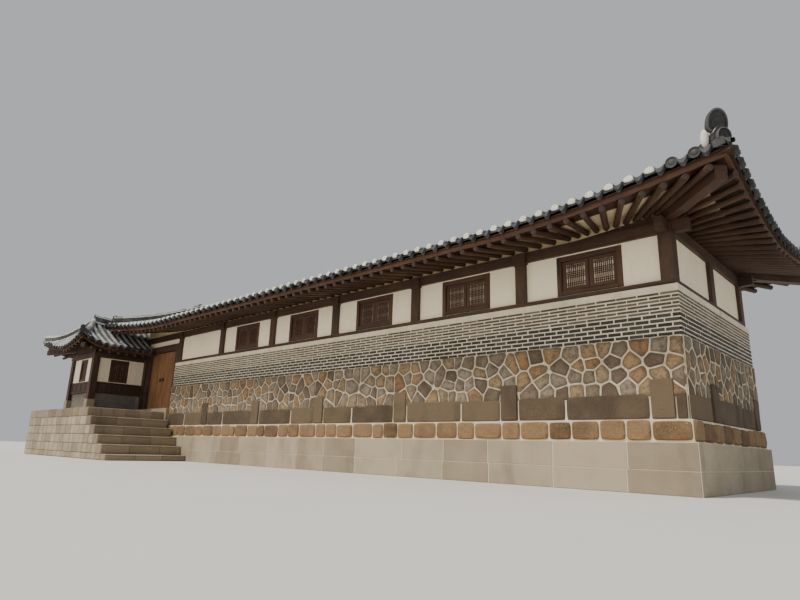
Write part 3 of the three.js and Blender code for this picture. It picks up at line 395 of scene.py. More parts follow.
# Gathers arrays of points and faces for one mesh, each batch with its tone, grain and material number
class Batches:
    def __init__(self):
        self.points, self.faces, self.slots, self.tones, self.grains = [], [], [], [], []
        self.count = 0

    # Faces are one array, a list of arrays, or a dictionary of them by material number. Tones go to points, or are
    # shared out evenly when there are fewer of them.
    def add(self, points, faces, slot=0, tone=0.5, grain=None):
        flat = np.asarray(points, float).reshape(-1, 3)
        for number, group in (faces if isinstance(faces, dict) else {slot: faces}).items():
            for face in group if isinstance(group, list) else [group]:
                self.faces.append(face + self.count)
                self.slots.append(np.full(len(face), number, np.int32))
        tone = np.asarray(tone, float).ravel()
        self.points.append(flat)
        self.tones.append(np.repeat(tone, len(flat) // max(len(tone), 1)))
        self.grains.append(flat if grain is None else np.asarray(grain, float).reshape(-1, 3))
        self.count += len(flat)

    def make(self, name, materials, slotName, body="house", replaces=(), sharp=35.0):
        points = np.concatenate(self.points)
        corners = np.concatenate([f.ravel() for f in self.faces]).astype(np.int32)
        sizes = np.concatenate([np.full(len(f), f.shape[1], np.int32) for f in self.faces])
        mesh = bpy.data.meshes.new(name)
        mesh.vertices.add(len(points))
        mesh.vertices.foreach_set("co", points.astype(np.float32).ravel())
        mesh.loops.add(len(corners))
        mesh.loops.foreach_set("vertex_index", corners)
        mesh.polygons.add(len(sizes))
        mesh.polygons.foreach_set("loop_start", np.concatenate([[0], np.cumsum(sizes)[:-1]]).astype(np.int32))
        mesh.polygons.foreach_set("material_index", np.concatenate(self.slots))
        mesh.polygons.foreach_set("use_smooth", np.ones(len(sizes), bool))
        for kind, key, label, values in (("FLOAT", "value", "tone", self.tones),
                                         ("FLOAT_VECTOR", "vector", "grain", self.grains)):
            layer = mesh.attributes.new(label, kind, "POINT")
            layer.data.foreach_set(key, np.concatenate(values).astype(np.float32).ravel())
        mesh.update(calc_edges=True)
        mesh.validate()
        mesh.set_sharp_from_angle(angle=math.radians(sharp))
        for material in materials:
            mesh.materials.append(material)
        piece = bpy.data.objects.new(name, mesh)
        bpy.context.scene.collection.objects.link(piece)
        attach(piece, body)
        if replaces:
            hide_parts(*replaces)
        print(name, int((sizes - 2).sum()), "triangles")


# Numbers and arrays side by side as the columns of one array
def columns(*parts):
    return np.column_stack(np.broadcast_arrays(*parts)).astype(float)


def around(sides):
    return np.linspace(0, 2 * math.pi, sides, endpoint=False)


# Quads between neighbours of a grid of points. The first index crossed with the second points outwards.
def gridFaces(rows, across, closed=False, keep=None):
    i, j = np.meshgrid(np.arange(rows - 1), np.arange(across if closed else across - 1), indexing="ij")
    after = (j + 1) % across
    quads = np.stack([i * across + j, (i + 1) * across + j, (i + 1) * across + after, i * across + after], -1)
    quads = quads.reshape(-1, 4)
    return quads if keep is None else quads[keep.ravel()]


# The same faces for many copies of a shape that has so many points, laid one after another
def repeated(faces, count, size):
    return (np.arange(count)[:, None, None] * size + faces[None]).reshape(-1, faces.shape[1])


# Soft unevenness from a sum of sine waves in random directions
def ripple(points, size, seed):
    rng = np.random.default_rng(seed)
    waves = rng.normal(size=(7, 3))
    waves *= (rng.uniform(0.6, 2.2, 7) * 2 * math.pi / size / np.linalg.norm(waves, axis=1))[:, None]
    phases = rng.uniform(0, 2 * math.pi, 7)
    return np.sin(np.asarray(points) @ waves.T + phases).sum(-1) / 7


# A wall's own axes: along it, up, and out of it. Points are given as (along, up, out).
class Wall:
    def __init__(self, x, y, along, sunk=0.0):
        self.along = np.array([*along, 0.0])
        self.out = np.cross(self.along, (0.0, 0.0, 1.0))
        self.origin = np.array([x, y, 0.0]) + shift + self.out * sunk

    def points(self, along, up, out):
        along, up, out = np.broadcast_arrays(along, up, out)
        flat = along[..., None] * self.along + out[..., None] * self.out + self.origin
        flat[..., 2] += up
        return flat


frontWall = Wall(0.0, 0.0, (1.0, 0.0))
backWall = Wall(0.0, house["depth"], (-1.0, 0.0))
rightWall = Wall(0.0, 0.0, (0.0, 1.0))


# A box with chamfered edges as 24 points: each corner gives one point to each of its three faces
def chamferPattern():
    signs = np.array(list(product((-1.0, 1.0), repeat=3)))
    inset = 1.0 - np.repeat(np.eye(3)[None], 8, 0)
    sample = (signs[:, None] * (1.0 - 0.2 * inset)).reshape(24, 3)

    def outward(*face):
        a, b, c = sample[list(face[:3])]
        return face if np.dot(np.cross(b - a, c - b), sample[list(face)].mean(0)) > 0 else face[::-1]

    quads, corners = [], [outward(3 * c, 3 * c + 1, 3 * c + 2) for c in range(8)]
    for axis in range(3):
        k, m = [other for other in range(3) if other != axis]
        for sign in (-1.0, 1.0):
            ring = [c for c in range(8) if signs[c, axis] == sign]
            ring.sort(key=lambda c: math.atan2(signs[c, m], signs[c, k]))
            quads.append(outward(*(3 * c + axis for c in ring)))
        for c in range(8):
            if signs[c, axis] < 0:
                d = int(np.where((signs == signs[c] + 2 * np.eye(3)[axis]).all(1))[0][0])
                quads.append(outward(3 * c + k, 3 * d + k, 3 * d + m, 3 * c + m))
    return signs, inset, np.array(quads), np.array(corners)


cornerSigns, cornerInset, chamferQuads, chamferCorners = chamferPattern()


# Chamfered boxes on a wall, each from a low to a high corner given as (along, up, out), where any of the three may be
# an array. Grain runs along a box's longest side and starts somewhere new on each.
def addBoxes(batch, wall, low, high, chamfer, slot=0, seed=1):
    low, high = np.hsplit(columns(*low, *high), 2)
    count = len(low)
    centre, half = (low + high) / 2, (high - low) / 2
    cut = np.minimum(chamfer, half.min(1) * 0.6)[:, None, None, None]
    points = centre[:, None, None] + cornerSigns[None, :, None] * (half[:, None, None] - cut * cornerInset[None])
    points = points.reshape(count, 24, 3)
    rng = np.random.default_rng(seed)
    tones = rng.uniform(0, 1, count)
    longest = np.argsort(low - high, axis=1)[:, None, :]
    grain = np.take_along_axis(points, np.broadcast_to(longest, points.shape), 2) + rng.uniform(0, 30, (count, 1, 3))
    faces = [repeated(chamferQuads, count, 24), repeated(chamferCorners, count, 24)]
    batch.add(wall.points(*np.moveaxis(points, -1, 0)), faces, slot, tones, grain)


# Stones with a dressed face: a grid that falls away at its edges and swells and dips in its middle
def addPillows(batch, wall, low, high, base, look, slot):
    low, high = np.hsplit(columns(*low, *high), 2)
    count, stops = len(low), np.array(look["stops"])
    a, b = np.meshgrid(stops, stops, indexing="ij")
    most = np.maximum(np.abs(a), np.abs(b))
    rng = np.random.default_rng(look["seed"])
    centre, half = (low + high) / 2, (high - low) / 2
    squeeze = 1 - look["corner"] * (1 - most / (np.abs(a) ** 6 + np.abs(b) ** 6 + 1e-9) ** (1 / 6))
    u = centre[:, 0, None, None] + half[:, 0, None, None] * a * squeeze
    w = centre[:, 1, None, None] + half[:, 1, None, None] * b * squeeze
    edge = 1 - most
    face = 1 - (1 - np.clip(edge / look["rim"], 0, 1)) ** 2
    each = rng.uniform(0.75, 1.15, count)[:, None, None]
    place = np.broadcast_to(rng.uniform(0, 9, count)[:, None, None], u.shape)
    bump = ripple(np.stack([u, w, place], -1), look["wave"], look["seed"])
    out = base + np.where(edge > 0, look["proud"] * each * face + look["rough"] * bump * face, -0.01)
    faces = repeated(gridFaces(len(stops), len(stops)), count, len(stops) ** 2)
    batch.add(wall.points(u, w, out), faces, slot, rng.uniform(0, 1, count))


# Lengths of a course from one end to the other, about so long each, as arrays of starts and ends
def courseCuts(start, end, length, vary, seed):
    rng = np.random.default_rng(seed)
    count = max(int(round((end - start) / length)), 1)
    inner = start + (end - start) * (np.arange(1, count) + rng.uniform(-vary, vary, count - 1)) / count
    cuts = np.concatenate([[start], inner, [end]])
    return cuts[:-1], cuts[1:]


# Running-bond courses of bricks, trimmed at both ends
def addBricks(batch, wall, start, end, bottom, face, look, slot, seed, toneSeed):
    rng = np.random.default_rng(seed)
    step = look["length"] + look["joint"]
    bricks = []
    for course in range(look["count"]):
        cuts = start - step + step * (0.5 * (course % 2) + 0.1) + step * np.arange(int((end - start) / step) + 3)
        cuts = cuts + rng.uniform(-0.006, 0.006, len(cuts))
        left, right = np.maximum(cuts, start), np.minimum(cuts + look["length"], end)
        kept = right - left > 0.04
        level = bottom + look["pitch"] * course + (look["pitch"] - look["height"]) / 2
        bricks.append(columns(left[kept], right[kept], level + rng.uniform(-0.002, 0.002, kept.sum())))
    left, right, foot = np.concatenate(bricks).T
    addBoxes(batch, wall, (left, foot, face - look["deep"]), (right, foot + look["height"], face + look["proud"]),
             0.003, slot, toneSeed)


# Field stones: seeds on a jittered lattice. A stone reaches, in each direction, half way to the seeds around it, and
# a high power mean of those reaches rounds its corners. Rings of points run from the raised mortar to the crown.
def addFieldStones(batch, wall, span, base, look):
    u0, u1, w0, w1 = span
    rng = np.random.default_rng(look["seed"])
    across, rows = int(round((u1 - u0) / look["width"])), int(round((w1 - w0) / look["height"]))
    i, j = np.meshgrid(np.arange(across), np.arange(rows), indexing="ij")
    seedsU = u0 + (i + 0.5 + 0.25 * (j % 2 * 2 - 1) + rng.uniform(-0.36, 0.36, i.shape)) * (u1 - u0) / across
    seedsW = w0 + (j + 0.5 + rng.uniform(-0.33, 0.33, i.shape)) * (w1 - w0) / rows
    inside = look["inside"]
    seeds = columns(*(np.clip(seed, low + inside, high - inside).ravel()
                      for seed, low, high in ((seedsU, u0, u1), (seedsW, w0, w1))))
    seeds = seeds[rng.uniform(0, 1, len(seeds)) > look["dropped"]]
    count, sides, power = len(seeds), look["sides"], look["power"]
    ways = columns(np.cos(around(sides)), np.sin(around(sides)))
    apart = seeds[None] - seeds[:, None]
    ahead, squared = apart @ ways.T, (apart ** 2).sum(-1)
    inverse = np.where(ahead > 1e-6, 2 * ahead / np.maximum(squared, 1e-9)[..., None], 0.0)
    ends = [np.maximum(ways[None, :, 0], 0) / (u1 + 0.01 - seeds[:, :1]),
            np.maximum(-ways[None, :, 0], 0) / (seeds[:, :1] - u0 + 0.01),
            np.maximum(ways[None, :, 1], 0) / (w1 + 0.01 - seeds[:, 1:]),
            np.maximum(-ways[None, :, 1], 0) / (seeds[:, 1:] - w0 + 0.01)]
    reach = ((inverse ** power).sum(1) + sum(end ** power for end in ends)) ** (-1 / power)
    half = look["joint"] / 2
    stone = np.maximum(reach - half - look["shoulder"], 0.01)
    radii = [np.maximum(reach - half * onJoint - back, 0.01) for onJoint, back, _ in look["edge"]]
    rings = np.stack(radii + [stone * share for share, _ in look["crown"]], 1)
    heights = np.array([high for *_, high in look["edge"]] + [high for _, high in look["crown"]])
    u = seeds[:, 0, None, None] + rings * ways[None, None, :, 0]
    w = seeds[:, 1, None, None] + rings * ways[None, None, :, 1]
    each = rng.uniform(-0.4, 1.0, count)[:, None, None]
    bump = ripple(np.stack([u, w, np.broadcast_to(each * 5, u.shape)], -1), 0.16, look["seed"])
    onStone = (np.arange(len(heights)) >= 4)[None, :, None]
    out = base + heights[None, :, None] + onStone * (each * 0.006 + bump * look["rough"])
    # inward runs from 0 on the rim rings to 1 on the crown; the finish paints shade on the stone where it is low
    inward = np.broadcast_to(np.array(look["inward"])[None, :, None], u.shape)
    mortarRings = gridFaces(4, sides, True)[:, ::-1]
    stoneRings = gridFaces(len(heights) - 3, sides, True)[:, ::-1] + 3 * sides
    size = len(heights) * sides
    batch.add(wall.points(u, w, out), {1: repeated(mortarRings, count, size), 0: repeated(stoneRings, count, size)},
              tone=rng.uniform(0, 1, count), grain=np.stack([inward, 0 * inward, 0 * inward], -1))


# Masonry of the long walls, from the granite plinth to the bricks under the sill
masonry = {
    "plinthLength": 1.05, "plinthJoint": 0.007, "plinthSplit": 0.46, "roughLength": 0.43, "roughJoint": 0.016,
    "roughPast": 0.05, "blockLength": 1.0, "blockJoint": 0.018, "upright": 0.34, "uprightTop": 1.56,
    "uprightPitch": 2.46, "uprightProud": 0.016, "firstUpright": {"front": -12.49, "back": 0.4, "right": 1.0},
}
darkCourses = {"count": 5, "pitch": 0.067, "height": 0.048, "length": 0.19, "joint": 0.019, "deep": 0.02,
               "proud": 0.005}
thinCourses = {"count": 6, "pitch": 0.0533, "height": 0.034, "length": 0.30, "joint": 0.018, "deep": 0.02,
               "proud": 0.004}
fieldLook = {  # edge: share of half a joint, distance further in, height; crown: share of the stone, height
    "width": 0.27, "height": 0.212, "inside": 0.05, "dropped": 0.1, "joint": 0.013, "shoulder": 0.009, "sides": 26,
    "power": 20, "rough": 0.006,
    "edge": [(0, 0.0, 0.021), (1, -0.004, 0.022), (1, 0.0, 0.012), (1, 0.003, 0.004), (1, 0.009, 0.015)],
    "crown": [(0.84, 0.023), (0.45, 0.028), (0.0, 0.030)], "inward": (0, 0, 0, 0, 0, 0.45, 1.0, 1.0),
}
dressed = {"stops": (-1, -0.985, -0.93, -0.6, -0.2, 0.2, 0.6, 0.93, 0.985, 1), "corner": 0.22, "rim": 0.04,
           "wave": 0.35, "rough": 0.004, "proud": 0.034}
hewn = {"stops": (-1, -0.97, -0.85, -0.55, -0.25, 0.0, 0.25, 0.55, 0.85, 0.97, 1), "corner": 0.8, "rim": 0.13,
        "wave": 0.13, "rough": 0.022, "proud": 0.03}


def dressMasonry(side, wall, start, end, seed):
    m, h = masonry, house
    face, isRight = h["wallFace"], side == "right"
    plinthOut, past = h["plinthFace"], h["plinthFace"] - face
    stones = Batches()
    upper = courseCuts(start - past * isRight, end + past, m["plinthLength"], 0.12, seed)
    lower = courseCuts(upper[0][0], upper[1][-1], m["plinthLength"], 0.12, seed + 9)
    split, joint = h["plinthTop"] * m["plinthSplit"], m["plinthJoint"] / 2
    for (left, right), foot, head in ((lower, 0.0, split), (upper, split, h["plinthTop"])):
        addBoxes(stones, wall, (left + joint, foot, plinthOut - 0.03), (right - joint, head - joint, plinthOut + 0.006),
                 0.008, 2, seed)
    left, right = courseCuts(start - m["roughPast"] * isRight, end + m["roughPast"], m["roughLength"], 0.3, seed + 1)
    joint, count = m["roughJoint"] / 2, len(left)
    rng = np.random.default_rng(seed + 2)
    addPillows(stones, wall, (left + joint, h["plinthTop"] + rng.uniform(0.006, 0.02, count)),
               (right - joint, h["roughTop"] - rng.uniform(0.0, 0.03, count)), h["roughFace"], dict(hewn, seed=seed), 3)
    centres = np.arange(m["firstUpright"][side], end, m["uprightPitch"])
    uprights = np.repeat(centres, 2) + np.tile([-0.5, 0.5], len(centres)) * m["upright"]
    blocks = []
    for gapStart, gapEnd in np.concatenate([[start + 0.01], uprights, [end]]).reshape(-1, 2):
        if gapEnd - gapStart > 0.15:
            left, right = courseCuts(gapStart, gapEnd, m["blockLength"], 0.4, seed + int(gapStart * 7) % 90)
            blocks.append(columns(left, right, h["blockTop"] - rng.uniform(0, 0.03, len(left))))
    blocks.append(columns(centres - m["upright"] / 2, centres + m["upright"] / 2,
                          m["uprightTop"] + rng.uniform(-0.03, 0.03, len(centres))))
    left, right, top = np.concatenate(blocks).T
    joint = m["blockJoint"] / 2
    raised = face + m["uprightProud"] * (np.arange(len(left)) >= len(left) - len(centres))
    addPillows(stones, wall, (left + joint, h["roughTop"] + 0.006), (np.minimum(right - joint, end - 0.002), top),
               raised[:, None, None], dict(dressed, seed=seed + 3), 4)
    backing = np.meshgrid([start, end], [h["roughTop"], h["stoneTop"]], indexing="ij")
    stones.add(wall.points(*backing, face + 0.013), gridFaces(2, 2), 1)
    addFieldStones(stones, wall, (start, end, h["blockTop"] - 0.06, h["stoneTop"]), face, dict(fieldLook, seed=seed))
    stones.make(side + "_wall_stones", [fieldStone, mortar, granite, tanStone, blockStone], "fieldstone")
    bricks = Batches()
    addBricks(bricks, wall, start, end, h["stoneTop"], face, darkCourses, 0, seed + 5, seed + 6)
    addBricks(bricks, wall, start, end, h["darkTop"], face, thinCourses, 1, seed + 7, seed + 8)
    bricks.make(side + "_wall_bricks", [darkBrick, thinBrick], "brick")


dressMasonry("front", frontWall, rangeLeft, house["wallFace"], 21)
dressMasonry("back", backWall, -house["wallFace"], -rangeLeft, 33)
dressMasonry("right", rightWall, -house["wallFace"], house["depth"] + house["wallFace"], 47)
print("masonry laid")

# Roofs: the same rise, corner lift and flare as the solids, in metres
mainRoof = {
    "left": gateLeft - 0.45, "right": 1.15, "front": -1.22, "back": 4.82, "run": 3.02, "endInset": 3.02,
    "alongX": True, "eaveZ": 3.85, "slope": 0.26, "curve": 0.0454, "lift": 0.33, "liftPower": 1.7, "flare": 0.09,
    "liftReach": 3.6, "edge": 0.06, "thick": 0.098, "thicken": 0.125, "thickenTo": 1.57, "fasciaInset": 0.07,
    "fasciaThick": 0.04, "fasciaTop": -0.03, "fasciaFoot": -0.142, "ridgeHalf": 0.12, "ridgeHigh": 0.25,
    "endRise": 0.09, "gable": 0.2, "gableFade": 0.4, "pitch": 0.27, "tileScale": 1.0,
}
wingRoof = {
    "left": wing["left"] - 0.75, "right": wing["right"] + 0.75, "front": wing["front"] - 0.75, "back": 4.35,
    "run": 1.63, "endInset": 0.8, "alongX": False, "eaveZ": 3.32, "slope": 0.42, "curve": 0.085, "lift": 0.34,
    "liftPower": 2.2, "flare": 0.07, "liftReach": 1.9, "edge": 0.05, "thick": 0.12, "thicken": 0.0, "thickenTo": 1.0,
    "fasciaInset": 0.06, "fasciaThick": 0.04, "fasciaTop": -0.03, "fasciaFoot": -0.128, "ridgeHalf": 0.095,
    "ridgeHigh": 0.23, "endRise": 0.1, "gable": 0.0, "gableFade": 1.0, "pitch": 0.212, "tileScale": 0.8,
}
sides = ("front", "right", "back", "left")


# How far a plan point lies inside the nearer eave, along X and along Y
def insets(roof, x, y):
    return np.minimum(x - roof["left"], roof["right"] - x), np.minimum(y - roof["front"], roof["back"] - y)


# Height: the eave's height, plus slope and curve times the distance from the nearest eave, plus a lift that fades
# with the distance from the corner and towards the ridge. A gabled end slopes only to the long eaves.
def roofHeight(roof, x, y):
    sideways, forward = insets(roof, x, y)
    end, side = (sideways, forward) if roof["alongX"] else (forward, sideways)
    end = end * roof["run"] / roof["endInset"]
    gabled = (roof["gable"] > 0) & (x < (roof["left"] + roof["right"]) / 2)
    d = np.clip(np.where(gabled, side, np.minimum(side, end)), 0, roof["run"])
    far = np.where(gabled, np.maximum(end, 0), np.maximum(side, end))
    reach = np.maximum(1 - far / roof["liftReach"], 0) ** roof["liftPower"]
    fade = 1 - np.where(gabled, roof["gableFade"], 1.0) * d / roof["run"]
    return roof["eaveZ"] + roof["slope"] * d + roof["curve"] * d * d + roof["lift"] * reach * fade


# The eaves swing outwards towards each corner
def flared(roof, x, y):
    def bulge(near, off):
        return (roof["flare"] * np.maximum(1 - near / roof["liftReach"], 0) ** 2.2
                * np.maximum(1 - off / (roof["run"] * 0.6), 0))
    nearEnd, nearLong = insets(roof, x, y)
    dx = bulge(nearLong, roof["right"] - x) - bulge(nearLong, x - roof["left"])
    dy = bulge(nearEnd, roof["back"] - y) - bulge(nearEnd, y - roof["front"])
    return x + dx, y + dy


# Points over a plan point: flared outwards, at the roof's height plus each of the levels
def overRoof(roof, plan, *levels):
    return np.stack(np.broadcast_arrays(*flared(roof, *plan), sum(levels, roofHeight(roof, *plan))), -1)


# The bedding under the tiles grows thicker up the slope
def roofThick(roof, x, y):
    return roof["thick"] + roof["thicken"] * np.clip(np.minimum(*insets(roof, x, y)), 0, roof["thickenTo"])


# Height of the flared roof's underside over a real plan point, by a few fixed-point steps
def roofUnder(roof, x, y):
    u, v = x, y
    for _ in range(6):
        fx, fy = flared(roof, u, v)
        u, v = u + x - fx, v + y - fy
    return roofHeight(roof, u, v) - roofThick(roof, u, v)


# Plan point of a slope at t along its eave and d up it; each slope's t crossed with its d points up
def slopePlan(roof, side, t, d):
    return {
        "front": lambda: (roof["left"] + t, roof["front"] + d), "right": lambda: (roof["right"] - d, roof["front"] + t),
        "back": lambda: (roof["right"] - t, roof["back"] - d), "left": lambda: (roof["left"] + d, roof["back"] - t),
    }[side]()


# Length of a side's eave, and how far its slope and the slopes at its ends run up
def slopeSizes(roof, side):
    onX = side in ("front", "back")
    length = roof["right"] - roof["left"] if onX else roof["back"] - roof["front"]
    runs = (roof["run"], roof["endInset"])
    return (length, *(runs if onX == roof["alongX"] else runs[::-1]))


# How far up its slope a column of tiles runs, before it meets a hip or the ridge
def reachUp(roof, side, t):
    length, reach, other = slopeSizes(roof, side)
    fromStart, fromEnd = t, length - t
    if roof["gable"] and side == "front":
        fromStart = other + 0 * t
    if roof["gable"] and side == "back":
        fromEnd = other + 0 * t
    return np.minimum(np.minimum(fromStart, fromEnd) * reach / other, reach)


# Where the long range's eave passes over the wing's roof, the wing's roof stops
def underMain(points):
    local = points - shift
    past = local[..., 0] > gateLeft - 0.102
    return past & ((local[..., 1] > -0.112) | ((local[..., 1] > -0.76) & (local[..., 2] > 3.82)))


# Faces of a slope's grid that lie below the hips, and for a trimmed roof also outside the long range's eave
def liveFaces(grid, low, farthest, trimmed):
    live = low[None, :-1] < np.maximum(farthest[:-1], farthest[1:])[:, None]
    return live & ~underMain((grid[:-1, :-1] + grid[1:, 1:]) / 2) if trimmed else live


# One row of tiles across a column: from the middle of a pan over the cover to the next pan
tiles = {
    "course": 0.285, "gap": 0.004, "lap": 0.013, "bed": 0.008, "coverBack": 0.02, "coverHalf": 0.0755,
    "lipOut": (0.03, 0.012, 0.012, -0.036, -0.036), "lipShare": (1.0, 1.0, 1.0, 1.0, 0.0),
    "lipFall": (0.072, 0.072, 0.044, 0.044, 0.0), "lipThick": 0.016,
    "across": np.array([-0.121, -0.105, -0.088, -0.076, -0.073, -0.062, -0.042, -0.016]),
    "rise": np.array([0.0, 0.001, 0.006, 0.018, 0.028, 0.05, 0.068, 0.084, 0.092]),
}


# One slope: rows of cover tiles and pan tiles. Across, a cover is an arch and a pan a hollow; up the slope each tile
# laps the one below. A pan's lip hangs over the eave. Columns are cut short where they meet a hip.
def addSlope(batch, roof, side, trimmed):
    length, reach, _ = slopeSizes(roof, side)
    count = int(round(length / roof["pitch"]))
    pitch, scale = length / count, roof["tileScale"]
    half, cover = pitch / 2, tiles["coverHalf"] * scale
    across = tiles["across"] * scale
    across = np.concatenate([[-half], across, -across[::-1], [half]])
    rise = np.tile(np.concatenate([tiles["rise"], tiles["rise"][::-1]]) * scale, count)
    onArch = np.abs(across) < cover
    t = ((np.arange(count)[:, None] + 0.5) * pitch + across[None]).ravel()
    arch = np.tile(onArch.astype(float), count)
    farthest = reachUp(roof, side, t)
    courses = int(math.ceil(reach / tiles["course"]))
    starts = np.arange(courses) * reach / courses
    d = np.stack([starts, starts + reach / courses - tiles["gap"]], 1).ravel()
    d[0], d[-1] = 0.0, reach
    rng = np.random.default_rng(11 + len(side))
    eachTile = rng.uniform(0, 1, (2 * count + 2, courses))
    tone = np.repeat(eachTile[(2 * np.arange(count)[:, None] + onArch[None]).ravel()], 2, axis=1)
    start = (tiles["coverBack"] * arch)[:, None]
    depth = np.minimum(np.maximum(np.minimum(d[None], farthest[:, None]), start), np.maximum(farthest, 0.0)[:, None])
    top = overRoof(roof, slopePlan(roof, side, t[:, None], depth), tiles["bed"], rise[:, None],
                   np.tile([tiles["lap"], 0.0], courses)[None])
    hang = np.clip((np.abs(np.tile(across, count)) - cover) / (half - cover), 0, 1)
    hang = np.sin(hang * math.pi / 2) ** 0.8 * (1 - arch)
    shown, deepest = np.array(tiles["lipShare"]), np.array(tiles["lipFall"])
    fall = tiles["lipThick"] * shown + deepest[None] * (0.2 + 0.8 * hang[:, None]) * shown
    onCover = arch[:, None] > 0
    lipOut = np.where(onCover, start, np.array(tiles["lipOut"])[None])
    lipX, lipY = flared(roof, *slopePlan(roof, side, t[:, None], lipOut))
    edgeZ = roofHeight(roof, *slopePlan(roof, side, t, 0 * t)) + tiles["bed"] + rise + tiles["lap"]
    lip = np.stack([lipX, lipY, edgeZ[:, None] - np.where(onCover, (rise + 0.02)[:, None] * shown, fall)], -1)
    grid = np.concatenate([lip, top], 1) + shift
    tone = np.concatenate([np.repeat(tone[:, :1], 5, 1), tone], 1)
    rows, deep = grid.shape[:2]
    live = liveFaces(grid, np.concatenate([np.full(5, -1.0), d]), farthest, trimmed)
    # Painted highlight and shade: the cover tiles' arches take the pale tile and the pans between them the dark one, so
    # the raised covers read lit and the hollows shaded
    pale = (arch[:-1] * arch[1:] > 0)[:, None] & (np.arange(deep - 1) > 4)[None]
    faces = {slot: gridFaces(rows, deep, keep=live & kept) for slot, kept in ((0, ~pale), (1, pale))}
    batch.add(grid, faces, tone=tone)


# The roof's underside: a thin edge over the fascia, then the full thickness, on a coarse grid. It is boarded at the
# eave and near the corners.
def addUnderside(batch, roof, side, trimmed):
    length, reach, _ = slopeSizes(roof, side)
    t = np.linspace(0, length, int(length / 0.3) + 2)
    step = roof["fasciaInset"] + 0.045
    d = np.concatenate([[0.028, step - 0.003, step], np.linspace(step, reach, 9)[1:]])
    farthest = reachUp(roof, side, t)
    plan = slopePlan(roof, side, t[:, None], np.minimum(d[None], np.maximum(farthest, 0.0)[:, None]))
    grid = overRoof(roof, plan, -np.where(np.arange(len(d))[None] < 2, roof["edge"], roofThick(roof, *plan))) + shift
    live = liveFaces(grid, d, farthest, trimmed)
    middle = (t[:-1] + t[1:]) / 2
    boarded = (np.minimum(middle, length - middle) < 0.5)[:, None] | (np.arange(len(d) - 1) < 3)[None]
    batch.add(grid, {slot: gridFaces(len(t), len(d), keep=live & chosen)[:, ::-1]
                     for slot, chosen in ((2, ~boarded), (5, boarded))})


# Ends of the cover tiles, as outlines of (share of the radius, share of the bulge): a clay disc with rings round its
# middle near the corners, and elsewhere a lime plug, a low dome that is half round above and flatter below
discEnd = {
    "outline": [(1.0, 0.0), (1.0, 1.0), (0.84, 1.0), (0.78, 0.55), (0.5, 0.55), (0.44, 0.9), (0.2, 1.0), (0.0, 1.0)],
    "radius": 0.076, "foot": 1.0,
}
plugEnd = {
    "outline": [(1.02, 0.0), (1.0, 0.35), (0.88, 0.72), (0.62, 0.93), (0.3, 1.0), (0.0, 1.02)],
    "radius": 0.068, "foot": 0.3,
}


def addPlugs(batch, roof, side, trimmed):
    length = slopeSizes(roof, side)[0]
    count, scale = int(round(length / roof["pitch"])), roof["tileScale"]
    number = np.arange(count)
    fromCorner = np.minimum(number, count - 1 - number)
    rng = np.random.default_rng(5 + len(side))
    for disc, end in ((False, plugEnd), (True, discEnd)):
        along = ((number + 0.5) * length / count)[(fromCorner > 0) & ((fromCorner < 3) == disc)]
        shares, lifts = np.array(end["outline"]).T
        bulge = np.full(len(along), 0.018) if disc else rng.uniform(0.03, 0.042, len(along))
        cos, sin = np.cos(around(18)), np.sin(around(18))
        radius = end["radius"] * shares[:, None]
        sideways = scale * radius * cos[None]
        upward = scale * (radius * (sin * np.where(sin < 0, end["foot"], 1.0))[None] + 0.03)
        out = tiles["coverBack"] - bulge[:, None, None] * lifts[None, :, None]
        t = along[:, None, None] + sideways[None]
        x, y = flared(roof, *slopePlan(roof, side, t, np.maximum(out, 0.0) + 0 * t))
        edge = roofHeight(roof, *slopePlan(roof, side, along, 0 * along))[:, None, None]
        points = np.stack(np.broadcast_arrays(x, y, edge + tiles["bed"] + tiles["lap"] + upward[None]), -1) + shift
        if trimmed:
            points = points[~underMain(points[:, 0, 0])]
        size = len(shares) * 18
        faces = repeated(gridFaces(len(shares), 18, True)[:, ::-1], len(points), size)
        # On the right side the plugs take the dark roof tile instead of lime: painted shade for that side of the roof
        batch.add(points, faces, 4 if disc else 0 if side == "right" else 3, rng.uniform(0, 1, len(points)))


# Verge of the gable: a lapped edge of cover tiles, carried along the gable's edge from eave to ridge to eave. The
# section is given as (out, up).
vergeSection = [(0.03, -0.098), (-0.02, -0.098), (-0.02, -0.05), (-0.045, -0.045), (-0.05, 0.0), (-0.035, 0.04),
                (0.0, 0.062), (0.04, 0.05), (0.06, 0.02)]


def addVerge(batch, roof):
    y = np.linspace(roof["front"] - 0.02, roof["back"] + 0.02, 61)
    x = roof["left"] + 0 * y
    fx, fy = flared(roof, x, y)
    height = roofHeight(roof, x, np.clip(y, roof["front"], roof["back"]))
    wave = 0.01 * ((y - roof["front"]) / tiles["course"] % 1.0)
    rings = [np.stack([fx + out, fy, height + level + wave * (level > -0.04)], 1) for out, level in vergeSection]
    size, last = len(rings), len(rings) * (len(y) - 1)
    caps = [np.arange(size)[None], (np.arange(size) + last)[None, ::-1]]
    batch.add(np.stack(rings, 1) + shift, [gridFaces(len(y), size, True)[:, ::-1], *caps], 0, 0.4)


def roofPiece(name, roof, node, trimmed=False):
    batch = Batches()
    for side in sides:
        if side == "left" and roof["gable"]:
            addVerge(batch, roof)
            continue
        addSlope(batch, roof, side, trimmed)
        addUnderside(batch, roof, side, trimmed)
        addPlugs(batch, roof, side, trimmed)
    batch.make(name, [roofTile, coverTile, infill, limePlug, endTile, beamWood], "roof_tile", "house", [node], 50)


roofPiece("main_roof_tiles", mainRoof, "main_roof")
roofPiece("wing_roof_tiles", wingRoof, "wing_roof", True)


